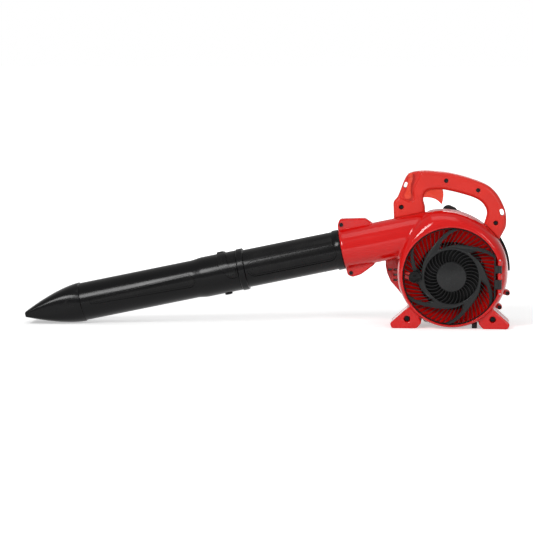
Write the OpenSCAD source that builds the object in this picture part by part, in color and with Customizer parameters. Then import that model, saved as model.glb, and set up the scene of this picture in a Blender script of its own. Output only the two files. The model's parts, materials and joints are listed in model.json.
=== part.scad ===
// Hand-held petrol leaf blower: fan housing with a hinged intake grille, loop handle,
// two-part blow tube with a flat nozzle, and a two-stroke engine on the far side.
// X runs from the nozzle to the back of the housing, Y away from the intake, Z up.

/* [Fan housing] */
// Radius of the round part of the fan housing
scroll_r = 114; // [110:0.5:118]
// Height of the fan casing's centre over the crank axis
scroll_up = 5.7; // [4:0.1:7]
// Gap between the fan housing and the ground
ground_gap = 0.7; // [0.5:0.1:6]
// Sideways shift of the centre of the wide part of the scroll
scroll_shift_x = -21; // [-24:1:-16]
// Upward shift of the centre of the wide part of the scroll
scroll_shift_z = 6.5; // [3:0.5:10]
// Depth of the front half, from the parting plane to the intake face
front_d = 54; // [50:1:64]
// Depth of the rear half, from the parting plane to the engine side
rear_d = 42; // [41:0.5:48]
// Wall of the housing and the duct
shell_wall = 2.5; // [2:0.1:3]
// Radius of the intake collar that holds the grille
collar_r = 100.2; // [98:0.2:101]
// Depth of the intake collar
collar_depth = 6; // [5:0.5:8]
// Radius of the fan's inlet eye, at the foot of the sloping collar floor
eye_r = 70; // [66:1:76]
// Width of the foot from its inner to its outer corner
foot_w = 60; // [54:1:66]
// Distance between the two foot screws
foot_span = 176; // [170:2:184]

/* [Blow tube] */
// Height of the tube axis above the crank axis, over the crank
tube_rise = 98; // [94:0.5:102]
// Downward tilt of the tube
tube_tilt = 11.9; // [10:0.1:13]
// Outer radius of the outlet duct
duct_r = 41.5; // [40.5:0.5:43]
// Distance from above the crank to the mouth of the duct
duct_end = 232.5; // [225:1:245]
// Length of the clamped part of the duct
clamp_len = 74; // [66:1:80]
// Outer radius of both tubes
tube_r = 39.5; // [38:0.5:39.5]
// Wall of the tubes
tube_wall = 2; // [1.5:0.1:2.5]
// Length of the upper tube that shows
upper_len = 218; // [180:2:260]
// Length of the bell at the top of the lower tube
bell_len = 74; // [66:1:90]
// Length of the lower tube past its bell
lower_len = 263; // [220:2:300]
// Length of the nozzle past the lower tube
nozzle_len = 118.5; // [90:2:130]
// Height of the nozzle's mouth
mouth_h = 12.4; // [8:0.4:20]
// Width of the nozzle's mouth
mouth_w = 90; // [80:2:110]

/* [Intake grille] */
// Outer radius of the grille
grille_r = 99.5; // [97:0.5:99.5]
// Radius of the grille's centre disc
hub_r = 31; // [26:1:36]
// Radius of the opening that holds the centre louvres
louvre_r = 55.6; // [50:0.6:58]
// Radius of the outer edge of the grille's middle ring
band_r = 67; // [64:1:70]
// Number of slanted ribs
rib_count = 60; // [40:2:72]
// Number of pinwheel arms
arm_count = 6; // [4:1:8]
// Number of curved louvres round the centre disc
louvre_count = 36; // [24:2:48]
// Rise of the grille's middle over its rim
dome_rise = 8; // [5:0.5:10]
// Distance of the grille's hinge axis from the crank axis
hinge_x = 98.6; // [98:0.1:100]
// Distance of the grille's screw knob from the crank axis
knob_x = 74.4; // [72:0.4:80]
// Radius of the grille's screw knob
knob_r = 12.7; // [10:0.3:15]

/* [Handle] */
// Width of the handle
handle_w = 34; // [30:1:38]
// Distance of the handle's middle plane behind the parting plane
handle_y = 24; // [22:1:26]
// Wall of the handle halves
handle_wall = 3; // [2:0.2:3.6]
// Width of the trigger
trigger_w = 20; // [16:1:24]
// Thickness of the cruise lever
lever_t = 4.2; // [3:0.2:6]

/* [Engine] */
// Bore of the cylinder
bore = 34; // [30:1:36]
// Stroke of the piston
stroke = 28; // [24:1:30]
// Length of the connecting rod between its centres
rod_len = 52; // [48:1:56]
// Radius of the crankshaft
shaft_r = 6; // [5:0.25:6.5]
// Outer radius of the crankcase
case_r = 36; // [34:0.5:38]
// Depth of the crankcase
case_d = 76; // [74:1:82]
// Radius of the flywheel
flywheel_r = 46; // [42:1:50]
// Radius of the impeller
impeller_r = 88; // [80:1:92]
// Number of impeller vanes
vane_count = 12; // [8:1:16]
// Number of cooling fins on the cylinder
fin_count = 9; // [7:1:10]

/* [Hidden] */

$fn = 48;

// Colours
housing_red = [0.80, 0.10, 0.07];
handle_red = [0.84, 0.20, 0.16];
trigger_red = [0.88, 0.17, 0.08];
black = [0.10, 0.10, 0.10];
grille_black = [0.17, 0.18, 0.18];
rubber_black = [0.06, 0.06, 0.06];
steel = [0.62, 0.63, 0.65];
dark_steel = [0.30, 0.30, 0.31];
alloy = [0.72, 0.73, 0.74];
foam_grey = [0.35, 0.36, 0.36];
tank_white = [0.86, 0.86, 0.80];
copper = [0.72, 0.45, 0.20];

// Clearances
fit = 0.3;
pin_fit = 0.08;
seat = 0.05;

// ---- Frame ----
// Everything is modelled round the crank axis and then stood on the ground.
axis_h = scroll_r - scroll_up + ground_gap;
nozzle_start = duct_end + fit + upper_len + bell_len + lower_len;
nozzle_end = nozzle_start + nozzle_len;
knob_front = -front_d - dome_rise - 10;
recoil_back = rear_d + case_d + 66;
foot_mid = (scroll_shift_x + 15) / 2;
foot_tip = foot_w / 2 + 5.5;
x_low = -nozzle_end * cos(tube_tilt) - mouth_h / 2 * sin(tube_tilt);
x_high = foot_mid + foot_span / 2 + foot_tip;
frame_x = -(x_low + x_high) / 2;
frame_y = -(knob_front + recoil_back) / 2;

module stand() translate([frame_x, frame_y, axis_h]) children();

// ---- Helpers ----
// A 2D outline in X and Z, extruded along Y from y0 to y1
module slab(y0, y1)
    translate([0, y1, 0]) rotate([90, 0, 0]) linear_extrude(height = y1 - y0) children();

module rod_y(y0, y1, r, x = 0, z = 0)
    translate([x, y1, z]) rotate([90, 0, 0]) cylinder(h = y1 - y0, r = r);

module rod_x(x0, x1, r, y = 0, z = 0)
    translate([x0, y, z]) rotate([0, 90, 0]) cylinder(h = x1 - x0, r = r);

module rod_z(z0, z1, r, x = 0, y = 0)
    translate([x, y, z0]) cylinder(h = z1 - z0, r = r);

module ring_y(y0, y1, ro, ri, x = 0, z = 0)
    difference() {
        rod_y(y0, y1, ro, x, z);
        rod_y(y0 - 1, y1 + 1, ri, x, z);
    }

module box(x0, x1, y0, y1, z0, z1)
    translate([x0, y0, z0]) cube([x1 - x0, y1 - y0, z1 - z0]);

// A rectangle in X and Z with rounded corners
module round_rect(x0, x1, z0, z1, r) {
    translate([x0 + r, z0]) square([x1 - x0 - 2 * r, z1 - z0]);
    translate([x0, z0 + r]) square([x1 - x0, z1 - z0 - 2 * r]);
    for (x = [x0 + r, x1 - r], z = [z0 + r, z1 - r]) translate([x, z]) circle(r);
}

// The tube's own frame: Z along the tube to the nozzle, X square to it and up, Y as before
module in_tube()
    translate([0, 0, tube_rise]) rotate([0, -(90 + tube_tilt), 0]) children();

// A 2D outline in distance along the tube and height over its axis, extruded along Y
module tube_slab(y0, y1)
    slab(y0, y1) translate([0, tube_rise]) rotate(tube_tilt) mirror([1, 0]) children();

module tube_rod(u, v, y0, y1, r)
    tube_slab(y0, y1) translate([u, v]) circle(r);

// A closed solid through rings of points
module loft(rings) {
    n = len(rings[0]);
    m = len(rings);
    polyhedron(
        points = [for (r = rings) each r],
        faces = [
            [for (i = [0:n - 1]) i],
            [for (i = [n - 1:-1:0]) (m - 1) * n + i],
            for (k = [0:m - 2], i = [0:n - 1]) let (j = (i + 1) % n)
                each [
                    [k * n + i, (k + 1) * n + j, k * n + j],
                    [k * n + i, (k + 1) * n + i, (k + 1) * n + j]
                ]
        ]
    );
}

// A tube of round section along a route
function unit(v) = v / norm(v);
function heading(path, i) =
    unit(path[min(i + 1, len(path) - 1)] - path[max(i - 1, 0)]);
module sweep(path, r, sides = 8)
    loft([for (i = [0:len(path) - 1])
        let (t = heading(path, i), a = unit(cross(t, abs(t.y) > 0.9 ? [1, 0, 0] : [0, 1, 0])), b = cross(t, a))
        [for (k = [0:sides - 1]) path[i] + r * (cos(360 * k / sides) * a + sin(360 * k / sides) * b)]]);

// A smooth curve through points, and an outline moved inwards
function spline_at(p, t) =
    0.5 * (2 * p[1] + t * (p[2] - p[0]) + t * t * (2 * p[0] - 5 * p[1] + 4 * p[2] - p[3])
        + t * t * t * (3 * p[1] - p[0] - 3 * p[2] + p[3]));
function curve(pts, n = 4) = [
    for (i = [0:len(pts) - 2], k = [0:n - 1])
        spline_at([pts[max(i - 1, 0)], pts[i], pts[i + 1], pts[min(i + 2, len(pts) - 1)]], k / n),
    pts[len(pts) - 1]
];
function edge_normal(a, b) = let (d = unit(b - a)) [-d.y, d.x];
// Positive d moves a clockwise outline outwards and a negative one inwards
function grown(pts, d) = [
    for (i = [0:len(pts) - 1])
        let (
            n = len(pts),
            p = edge_normal(pts[(i + n - 1) % n], pts[i]),
            q = edge_normal(pts[i], pts[(i + 1) % n])
        )
        pts[i] + d * (p + q) / (1 + p * q)
];
function on_plane(pts, y) = [for (p = pts) [p.x, y, p.y]];

// ---- Scroll outline ----
scroll_centre = [scroll_shift_x, scroll_shift_z];
duct_lift = -scroll_centre.x * sin(tube_tilt) + (scroll_centre.y - tube_rise) * cos(tube_tilt);
wide_r = duct_r - duct_lift;
join_point = scroll_centre + wide_r * [-sin(tube_tilt), cos(tube_tilt)];
join_angle = atan2(join_point.y, join_point.x);
scroll_blend = 48;

function wide_at(a) =
    let (b = scroll_centre.x * cos(a) + scroll_centre.y * sin(a))
    b + sqrt(b * b + wide_r * wide_r - scroll_centre * scroll_centre);
function round_at(a) =
    let (b = 1.5 * cos(a) + scroll_up * sin(a))
    b + sqrt(b * b + scroll_r * scroll_r - 1.5 * 1.5 - scroll_up * scroll_up);
function grown_at(a) = pow(pow(round_at(a), 24) + pow(wide_at(a), 24), 1 / 24);
function scroll_at(a) =
    a < 0 ? round_at(a)
    : a <= join_angle ? round_at(a) + (grown_at(a) - round_at(a)) * min(1, a / 20)
    : round_at(a) + (grown_at(join_angle) - round_at(join_angle)) * max(0, 1 - (a - join_angle) / scroll_blend);

crest_r = collar_r + 2.3;
scroll_steps = 72;
// The outline moved out by g, then drawn in towards the crest by the share f
function scroll_points(f = 1, g = 0) = [
    for (i = [0:scroll_steps - 1])
        let (a = 180 - 360 * i / scroll_steps, r = crest_r + min(g, 0) + (scroll_at(a) + g - crest_r - min(g, 0)) * f)
        r * [cos(a), sin(a)]
];
function scroll_ring(y, f = 1, g = 0) = on_plane(scroll_points(f, g), y);

front_round = 40;
round_angles = [0, 22, 40, 55, 68, 80, 90];
back_round = 8;

module front_block(inward)
    loft([
        for (a = round_angles)
            scroll_ring(-front_d + inward + front_round * (1 - cos(a)), sin(a), -inward),
        scroll_ring(inward > 0 ? 1 : 0, 1, -inward)
    ]);

module back_block(inward)
    loft([
        scroll_ring(-1, 1, -inward),
        for (a = [0, 30, 60, 90])
            scroll_ring(
                rear_d - inward - back_round * (1 - sin(a)), 1, -inward - back_round * (1 - cos(a)))
    ]);

module scroll_slab(y0, y1, g) slab(y0, y1) polygon(scroll_points(1, g));

// ---- Duct and clamp ----
duct_start = 32;
duct_bore = duct_r - shell_wall;
ear_top = [[0, 40], [-1, 51], [-6, 60], [-10, 63], [-60, 54.6], [-74, 40]];
ear_low = [[2, -38], [-1, -54], [-10, -60.5], [-28, -58.7], [-60, -44], [-63, -38]];
ear_half = 11;
clamp_screw_inset = 9;
clamp_screw_v = 51;
clamp_groove = 1.2;

module clamp_ears(y0, y1)
    tube_slab(y0, y1) for (ear = [ear_top, ear_low])
        polygon([for (p = ear) [duct_end + min(p.x, 0) * clamp_len / 74, p.y * duct_r / 41.5]]);

module duct_outer(side)
    intersection() {
        union() {
            in_tube() translate([0, 0, duct_start]) cylinder(h = duct_end - duct_start, r = duct_r);
            in_tube() translate([0, 0, duct_end - clamp_len - 8]) cylinder(h = 8, r = duct_r + clamp_groove);
            clamp_ears(-ear_half, ear_half);
        }
        box(-400, 50, side < 0 ? -100 : 0, side < 0 ? 0 : 100, -100, 300);
    }

module duct_hollow()
    in_tube() translate([0, 0, duct_start + 3]) cylinder(h = duct_end - duct_start, r = duct_bore);

screw_hole = 2.4;
module clamp_screw_holes(y0, y1, r)
    for (v = [clamp_screw_v, -clamp_screw_v])
        tube_rod(duct_end - clamp_screw_inset, v, y0, y1, r);

// ---- Feet ----
foot_front = -front_d + 8;
foot_back = rear_d - 6;
foot_hole_z = -axis_h + 20;
foot_hole_r = 6.5;
foot_xs = [foot_mid - foot_span / 2, foot_mid + foot_span / 2];

// Outline of a foot round its screw, with its outer corner at positive X
function foot_points(g = 0) = grown([
    [-2, 24], [foot_tip, -9.5], [foot_tip - 4, -20], [-foot_w / 3, -20], [-foot_w / 2, -8], [-foot_w / 3, 16]
], g);

module foot_shapes(g)
    for (i = [0, 1]) translate([foot_xs[i], foot_hole_z]) mirror([1 - i, 0]) polygon(foot_points(g));

module feet(y0, y1)
    difference() {
        slab(y0, y1) foot_shapes(0);
        difference() {
            slab(y0 < 0 ? y0 + shell_wall : y0 - 1, y1 > 0 ? y1 - shell_wall : y1 + 1)
                foot_shapes(-shell_wall);
            scroll_slab(y0 - 1, y1 + 1, 0);
            for (x = foot_xs) rod_y(y0 - 1, y1 + 1, foot_hole_r + shell_wall, x, foot_hole_z);
        }
    }

// ---- Rim lugs with housing screws ----
lug_angles = [-18, -34];
lug_r = 5.5;
function lug_at(a) = (scroll_at(a) + 7.2) * [cos(a), sin(a)];

module rim_lugs(y0, y1)
    for (a = lug_angles) {
        rod_y(y0, y1, lug_r, lug_at(a).x, lug_at(a).y);
        slab(y0, y1) rotate(a) translate([scroll_at(a) - 2.2, -lug_r + 1]) square([9.4, 2 * lug_r - 2]);
    }

module housing_screw_holes(y0, y1, r) {
    for (a = lug_angles) rod_y(y0, y1, r, lug_at(a).x, lug_at(a).y);
    for (x = foot_xs) rod_y(y0, y1, r, x, foot_hole_z);
}

// ---- Fan housing halves ----
lip_r = collar_r - 6;
collar_floor = -front_d + collar_depth;
eye_depth = 10;
hinge_y = -front_d - 5;
hinge_r = 4.5;
hinge_pin_r = 2;
lug_spans = [[24, 34], [-5, 8], [-33, -25]];
tab_r = 8;

module hinge_lugs()
    difference() {
        for (s = lug_spans) {
            rod_z(s[0], s[1], hinge_r, hinge_x, hinge_y);
            box(hinge_x, hinge_x + hinge_r, hinge_y, -front_d + 5, s[0], s[1]);
        }
        rod_z(-50, 50, hinge_pin_r + pin_fit, hinge_x, hinge_y);
    }

module knob_tab()
    difference() {
        slab(collar_floor, collar_floor + shell_wall) {
            translate([-lip_r - 2, -tab_r]) square([lip_r + 2 - knob_x, 2 * tab_r]);
            translate([-knob_x, 0]) circle(tab_r);
        }
        rod_y(-60, 0, 2.8, -knob_x, 0);
    }

module fan_cover()
    color(housing_red) {
        difference() {
            union() {
                difference() {
                    union() {
                        front_block(0);
                        duct_outer(-1);
                        feet(foot_front, 0);
                        scroll_slab(-3, -0.4, 0.6);
                        rim_lugs(-12, 0);
                    }
                    front_block(shell_wall);
                    duct_hollow();
                }
                ring_y(-front_d + 1.6, collar_floor + shell_wall, collar_r + shell_wall, collar_r - 1);
                translate([0, collar_floor, 0]) rotate([-90, 0, 0]) rotate_extrude($fn = 96) polygon([
                    [collar_r, 0], [collar_r, shell_wall], [eye_r, eye_depth + shell_wall], [eye_r, eye_depth]
                ]);
            }
            rod_y(-front_d - 1, collar_floor, collar_r);
            housing_screw_holes(-60, 1, screw_hole);
            for (x = foot_xs) rod_y(foot_front - 1, foot_front + 10, foot_hole_r, x, foot_hole_z);
            clamp_screw_holes(-20, 1, screw_hole);
        }
        hinge_lugs();
        knob_tab();
    }

front_lug = [-105.5, 137.5];
rear_lug = [89.6, 106];
lug_half = 5;
crank_hole_r = 20;

front_root = front_lug + [0, -36];
rear_root = rear_lug + [-14, -40];
lug_w = 8;

// The lugs from the housing up to the handle screws, grown all round by g
module handle_lug_shapes(g)
    slab(handle_y - lug_half - g, handle_y + lug_half + g)
        for (l = [[front_lug, front_root], [rear_lug, rear_root]]) let (p = l[0], q = l[1], w = [lug_w + g, 0]) {
            translate(p) circle(lug_w + g);
            polygon([p - w, p + w, q + w, q - w]);
        }

module handle_lugs()
    difference() {
        handle_lug_shapes(0);
        for (p = [front_lug, rear_lug]) rod_y(0, 60, screw_hole, p.x, p.y);
    }

module fan_housing_back()
    color(housing_red)
        difference() {
            union() {
                difference() {
                    back_block(0);
                    box(-200, 200, -10, 0, -200, 200);
                }
                duct_outer(1);
                feet(0, foot_back);
                rim_lugs(0, 14);
                handle_lugs();
            }
            back_block(shell_wall);
            duct_hollow();
            rod_y(0, 60, crank_hole_r);
            housing_screw_holes(-1, 16, screw_hole - 0.3);
            clamp_screw_holes(-1, 10, screw_hole - 0.3);
        }

// ---- Fasteners ----
shank_r = screw_hole - 0.3 - seat;

// A pan-head screw pointing along +Y, its head's underside at y0
module screw(x, y0, z, length, head_r = 4, head_t = 3) {
    difference() {
        rod_y(y0 - head_t, y0, head_r, x, z);
        box(x - head_r + 1.2, x + head_r - 1.2, y0 - head_t - 1, y0 - head_t + 1, z - 0.5, z + 0.5);
        box(x - 0.5, x + 0.5, y0 - head_t - 1, y0 - head_t + 1, z - head_r + 1.2, z + head_r - 1.2);
    }
    rod_y(y0 - 0.1, y0 + length, shank_r, x, z);
}

module housing_screws()
    color(dark_steel) {
        for (a = lug_angles) screw(lug_at(a).x, -12 - seat, lug_at(a).y, 24);
        for (x = foot_xs) screw(x, foot_front + 10 - seat, foot_hole_z, 48, 5);
    }

function tube_point(u, v) =
    [-u * cos(tube_tilt) - v * sin(tube_tilt), tube_rise - u * sin(tube_tilt) + v * cos(tube_tilt)];

module clamp_screws()
    color(dark_steel)
        for (v = [clamp_screw_v, -clamp_screw_v])
            let (p = tube_point(duct_end - clamp_screw_inset, v))
                screw(p.x, -ear_half - seat, p.y, 20);

pad_h = 3;
tank_front = rear_d + 8;
module rubber_pads()
    color(rubber_black) {
        for (x = [-40, 40], y = [tank_front + 14, tank_front + 86])
            translate([x, y, -axis_h]) cylinder(h = pad_h, r = 9);
        difference() {
            box(42, 53, -32, -10, -axis_h, -90);
            scroll_slab(-33, -9, fit);
        }
    }

// ---- Intake grille ----
grille_flat = hinge_x - 8.6;
rim_w = 5;
rib_tilt = 37;
rib_t = 1.6;
rib_depth = 4;
arm_sweep = 85;
arm_root = 33;

// A ring of the grille's sloping face, t thick and raised by up
module dome(r0, r1, t, up)
    translate([0, -front_d, 0]) rotate([90, 0, 0]) rotate_extrude($fn = 96)
        let (slope = (dome_rise - 3) / (grille_r - 2 - band_r), h0 = dome_rise - 2 - (r0 - band_r) * slope,
             h1 = dome_rise - 2 - (r1 - band_r) * slope)
            polygon([[r0, h0 + up - t], [r1, h1 + up - t], [r1, h1 + up], [r0, h0 + up]]);

module ribs()
    for (i = [0:rib_count - 1])
        rotate(360 * i / rib_count) translate([band_r - 2, 0]) rotate(-rib_tilt)
            translate([0, -rib_t / 2]) square([grille_r - band_r + 9, rib_t]);

module arm(tip)
    polygon([
        for (t = [0:0.1:1]) (band_r - 2 + (grille_r - band_r) * t) *
            [cos(tip + arm_sweep * (1 - t)), sin(tip + arm_sweep * (1 - t))],
        for (t = [1:-0.1:0]) (band_r - 1 + (grille_r - rim_w - band_r) * t) *
            [cos(tip + 4 + (arm_root - 4) * (1 - t)), sin(tip + 4 + (arm_root - 4) * (1 - t))]
    ]);

// A curved louvre between the centre disc and the middle ring
module louvre(a)
    let (bend = 26, steps = 5, r0 = hub_r - 1, dr = louvre_r + 1 - hub_r + 1)
        polygon([
            for (k = [0:steps]) let (t = k / steps, r = r0 + dr * t, b = a - bend * t * t)
                r * [cos(b), sin(b)] + 0.65 * [-sin(b), cos(b)],
            for (k = [steps:-1:0]) let (t = k / steps, r = r0 + dr * t, b = a - bend * t * t)
                r * [cos(b), sin(b)] - 0.65 * [-sin(b), cos(b)]
        ]);

module grille_body() {
    ring_y(-front_d - 1.5, collar_floor - fit, grille_r, grille_r - rim_w);
    intersection() {
        dome(band_r - 3, grille_r - 2, rib_depth, 0);
        slab(-front_d - 20, -front_d + 10) ribs();
    }
    intersection() {
        dome(band_r - 9, grille_r - 1, rib_depth + 2, 1.2);
        slab(-front_d - 20, -front_d + 10)
            for (k = [0:arm_count - 1]) arm(84 - 360 * k / arm_count);
    }
    ring_y(-front_d - dome_rise + 0.5, -front_d + 1, band_r, louvre_r);
    slab(-front_d - dome_rise + 1.5, collar_floor - 2)
        for (i = [0:louvre_count - 1]) louvre(360 * i / louvre_count);
    rod_y(-front_d - dome_rise, collar_floor - 2, hub_r);
    rod_y(collar_floor - 3, collar_floor - fit, louvre_r - 4);
    rod_y(-front_d - dome_rise, -front_d + 2, 9, -knob_x, 0);
}

module intake_grille()
    color(grille_black)
        difference() {
            union() {
                difference() {
                    grille_body();
                    box(grille_flat, 120, -80, 0, -60, 60);
                }
                intersection() {
                    box(grille_flat - 5, grille_flat, hinge_y - 1, collar_floor - fit, -60, 60);
                    rod_y(-80, 0, grille_r);
                }
                for (k = [0, 1])
                    let (z0 = lug_spans[k + 1][1] + 0.4, z1 = lug_spans[k][0] - 0.4) {
                        rod_z(z0, z1, hinge_r - 0.2, hinge_x, hinge_y);
                        box(grille_flat - 1, hinge_x, hinge_y - 2, hinge_y + 2.5, z0, z1);
                    }
            }
            rod_z(-50, 50, hinge_pin_r + pin_fit, hinge_x, hinge_y);
            rod_y(-80, 0, 2.8, -knob_x, 0);
        }

module hinge_pin()
    color(steel) rod_z(lug_spans[2][0] - 2, lug_spans[0][1] + 2, hinge_pin_r, hinge_x, hinge_y);

module grille_knob()
    color(black) {
        difference() {
            rod_y(knob_front, -front_d - dome_rise - fit, knob_r, -knob_x, 0);
            for (a = [0:30:330])
                rod_y(knob_front - 1, -front_d - dome_rise, 1.2,
                    -knob_x + (knob_r + 0.4) * cos(a), (knob_r + 0.4) * sin(a));
            rod_y(knob_front - 1, knob_front + 1.5, knob_r - 3, -knob_x, 0);
        }
        rod_y(knob_front + 1, knob_front + 3, 4, -knob_x, 0);
        rod_y(-front_d - dome_rise - 1, collar_floor + shell_wall - 0.2, 2.2, -knob_x, 0);
    }

// ---- Impeller ----
impeller_back = rear_d - 14;
impeller_front = collar_floor + eye_depth + shell_wall + 2;
impeller_hub_r = 14;
hub_front = -20;

module vane(a)
    let (steps = 7, r0 = 30, bend = 38, t0 = 1.1)
        polygon([
            for (k = [0:steps]) let (t = k / steps, r = r0 + (impeller_r - 1 - r0) * t, b = a + bend * t)
                r * [cos(b), sin(b)] + t0 * [-sin(b), cos(b)],
            for (k = [steps:-1:0]) let (t = k / steps, r = r0 + (impeller_r - 1 - r0) * t, b = a + bend * t)
                r * [cos(b), sin(b)] - t0 * [-sin(b), cos(b)]
        ]);

module impeller()
    color(housing_red)
        difference() {
            union() {
                rod_y(impeller_back, impeller_back + 2.5, impeller_r);
                rod_y(hub_front, impeller_back + 1, impeller_hub_r);
                slab(impeller_front, impeller_back + 1)
                    for (i = [0:vane_count - 1]) vane(360 * i / vane_count);
                ring_y(impeller_back - 20, impeller_back + 1, 33, 30);
            }
            rod_y(-60, 60, shaft_r + seat);
        }

module impeller_nut()
    color(steel)
        difference() {
            rotate([90, 0, 0]) translate([0, 0, -hub_front + seat]) cylinder(h = 7, r = 10, $fn = 6);
            rod_y(-60, 0, shaft_r + seat);
        }

// ---- Blow tube ----
collar_gap = fit;
upper_start = duct_end - clamp_len + 34;
upper_collar = duct_end + collar_gap;
stop_ring_end = upper_collar + upper_len;
bell_start = stop_ring_end + collar_gap;
lower_start = bell_start + bell_len;
panel_t = 0.9;
bell_r = tube_r + 2.5;

module tube_ring(u0, u1, ro, ri)
    translate([0, 0, u0]) difference() {
        cylinder(h = u1 - u0, r = ro);
        translate([0, 0, -1]) cylinder(h = u1 - u0 + 2, r = ri);
    }

// A raised panel on the near and far sides of a tube, from its outline in distance and height
module panel(points, r)
    intersection() {
        in_tube() translate([0, 0, 200]) cylinder(h = 700, r = r + panel_t);
        tube_slab(-60, 60) polygon(points);
    }

// An outline along a tube with a round end at each side
function capsule(u0, v0, r0, u1, v1, r1) = concat(
    [for (a = [90:15:270]) [u1, v1] + r1 * [-cos(a), sin(a)]],
    [for (a = [270:15:450]) [u0, v0] + r0 * [-cos(a), sin(a)]]
);

module upper_tube()
    color(black)
        difference() {
            union() {
                in_tube() {
                    translate([0, 0, upper_start]) cylinder(h = lower_start - 10 - upper_start, r = duct_bore - fit);
                    translate([0, 0, upper_collar]) cylinder(h = 14, r = tube_r + 2.2);
                    translate([0, 0, upper_collar]) cylinder(h = lower_start - 4 - upper_collar, r = tube_r);
                    translate([0, 0, stop_ring_end - 14]) cylinder(h = 14, r = tube_r + 4.3);
                }
                panel(capsule(upper_collar + 26, 0, 15, stop_ring_end - 36, 0, 15), tube_r);
            }
            in_tube() translate([0, 0, upper_start - 1]) cylinder(h = 900, r = duct_bore - fit - tube_wall);
        }

module bayonet_band()
    polygon([
        [38, 50], [37, 20], [24, -3], [17, -9], [4, -9], [4, 10], [12, 9], [18, 20], [22, 50]
    ]);

module lower_tube()
    color(black)
        difference() {
            union() {
                in_tube() {
                    translate([0, 0, bell_start]) cylinder(h = lower_start - bell_start, r = bell_r);
                    translate([0, 0, lower_start - 0.1]) cylinder(h = 22, r1 = bell_r, r2 = tube_r - 0.1);
                    translate([0, 0, lower_start]) cylinder(h = nozzle_start - seat - lower_start, r = tube_r);
                    translate([0, 0, bell_start + 32]) rotate([0, 90, 0]) cylinder(h = bell_r + 3.5, r = 8);
                    translate([0, 0, bell_start + 32]) rotate([0, -90, 0]) cylinder(h = bell_r + 3.5, r = 8);
                }
                intersection() {
                    in_tube() translate([0, 0, bell_start]) cylinder(h = 60, r = bell_r + 1.8);
                    tube_slab(-60, 0) translate([bell_start, 0]) bayonet_band();
                }
                panel(capsule(lower_start + 30, 1, 12, nozzle_start - 26, 0, 4.5), tube_r);
            }
            in_tube() {
                translate([0, 0, bell_start - 1]) cylinder(h = bell_len - 1, r = tube_r + fit);
                translate([0, 0, bell_start]) cylinder(h = 900, r = tube_r - tube_wall);
            }
        }

// ---- Nozzle ----
nozzle_r = tube_r + 1.7;
spigot_r = tube_r - tube_wall - fit;
spigot_t = 1.8;
spigot_len = 32;
nozzle_rings = 10;

// A rounded section of the nozzle, s along it from 0 to 1, drawn in by w
function nozzle_section(s, w) =
    let (
        h = nozzle_r - (nozzle_r - mouth_h / 2) * pow(s, 1.6) - w,
        b = nozzle_r + (mouth_w / 2 - nozzle_r) * s - w,
        e = 2 / (2 + 3 * s)
    )
    [for (i = [0:39]) let (a = 9 * i)
        [h * sign(cos(a)) * pow(abs(cos(a)), e), b * sign(sin(a)) * pow(abs(sin(a)), e), nozzle_start + s * nozzle_len]];

module nozzle()
    color(black) {
        in_tube() {
            difference() {
                loft([for (k = [0:nozzle_rings]) nozzle_section(k / nozzle_rings, 0)]);
                loft([for (k = [-1:nozzle_rings + 1]) nozzle_section_in(k / nozzle_rings)]);
            }
            tube_ring(nozzle_start - spigot_len, nozzle_start + 3, spigot_r, spigot_r - spigot_t);
        }
        difference() {
            tube_slab(-nozzle_r - 1, -nozzle_r + 6) difference() {
                translate([nozzle_start + 23, 6]) { circle(9); translate([-9, -9]) square([12, 18]); }
                translate([nozzle_start + 23, 6]) { circle(6); translate([-6, -6]) square([6, 12]); }
            }
            in_tube() translate([0, 0, nozzle_start - 1]) cylinder(h = nozzle_len, r = nozzle_r - 3);
        }
        tube_rod(nozzle_start + 25, 3, -nozzle_r - 0.8, -nozzle_r + 6, 2.6);
    }

// The hollow of the nozzle: never wider than the bore of its spigot at the back
function nozzle_section_in(s) =
    let (
        t = max(0, min(1, s)),
        limit = spigot_r - spigot_t + 0.5,
        h = min(limit, nozzle_r - (nozzle_r - mouth_h / 2) * pow(t, 1.6) - tube_wall),
        b = limit + (mouth_w / 2 - tube_wall - limit) * t,
        e = 2 / (2 + 3 * t)
    )
    [for (i = [0:39]) let (a = 9 * i)
        [h * sign(cos(a)) * pow(abs(cos(a)), e), b * sign(sin(a)) * pow(abs(sin(a)), e), nozzle_start + s * nozzle_len]];

// ---- Handle ----
handle_front = handle_y - handle_w / 2;
handle_back = handle_y + handle_w / 2;
grip_screws = [[-13, 193], [53, 173.6]];
base_screws = [front_lug, rear_lug];
trigger_pivot = [-66, 171];
trigger_pin_r = 2.5;
trigger_gap = 0.4;
lever_pivot = [-92, 162.6];
lever_pin_r = 2.4;
front_eye = [-97.1, 183.6];
rear_eye = [102, 128];

// The handle's outer and inner edges in pairs, from the front leg over the grip to the rear leg
handle_outer = curve([
    [-121.3, 92], [-121.5, 112], [-122, 132], [-121.8, 148], [-114, 158.5], [-107, 175], [-99, 195.5],
    [-91, 206.5], [-78, 211.2], [-57, 213.2], [-30, 211.5], [-4.3, 208.4], [32.4, 199.2], [68.9, 185],
    [89.2, 168.3], [102.9, 146.1], [110.6, 124.2], [111, 100], [104, 84], [97.4, 71.9]], 2);
handle_inner = curve([
    [-56.3, 92], [-56.3, 108], [-56.3, 124], [-57, 138], [-59.5, 148], [-59.5, 157], [-57, 165.5],
    [-52, 170.5], [-44, 173.6], [-32, 174.4], [-18, 173.6], [-2, 171], [20, 165.6], [43, 158.4],
    [58, 150.3], [67.5, 139], [70.9, 127], [68, 112], [63, 98], [60, 82]], 2);
handle_last = len(handle_outer) - 1;
handle_outline = concat(handle_outer, [for (i = [handle_last:-1:0]) handle_inner[i]]);
// Rounding of the handle: depth from the middle plane and how far the edge is drawn in there
handle_edge = [[handle_w / 2 - 9, 0], [handle_w / 2 - 5, 1], [handle_w / 2 - 2.2, 3], [handle_w / 2, 5.5]];

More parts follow.
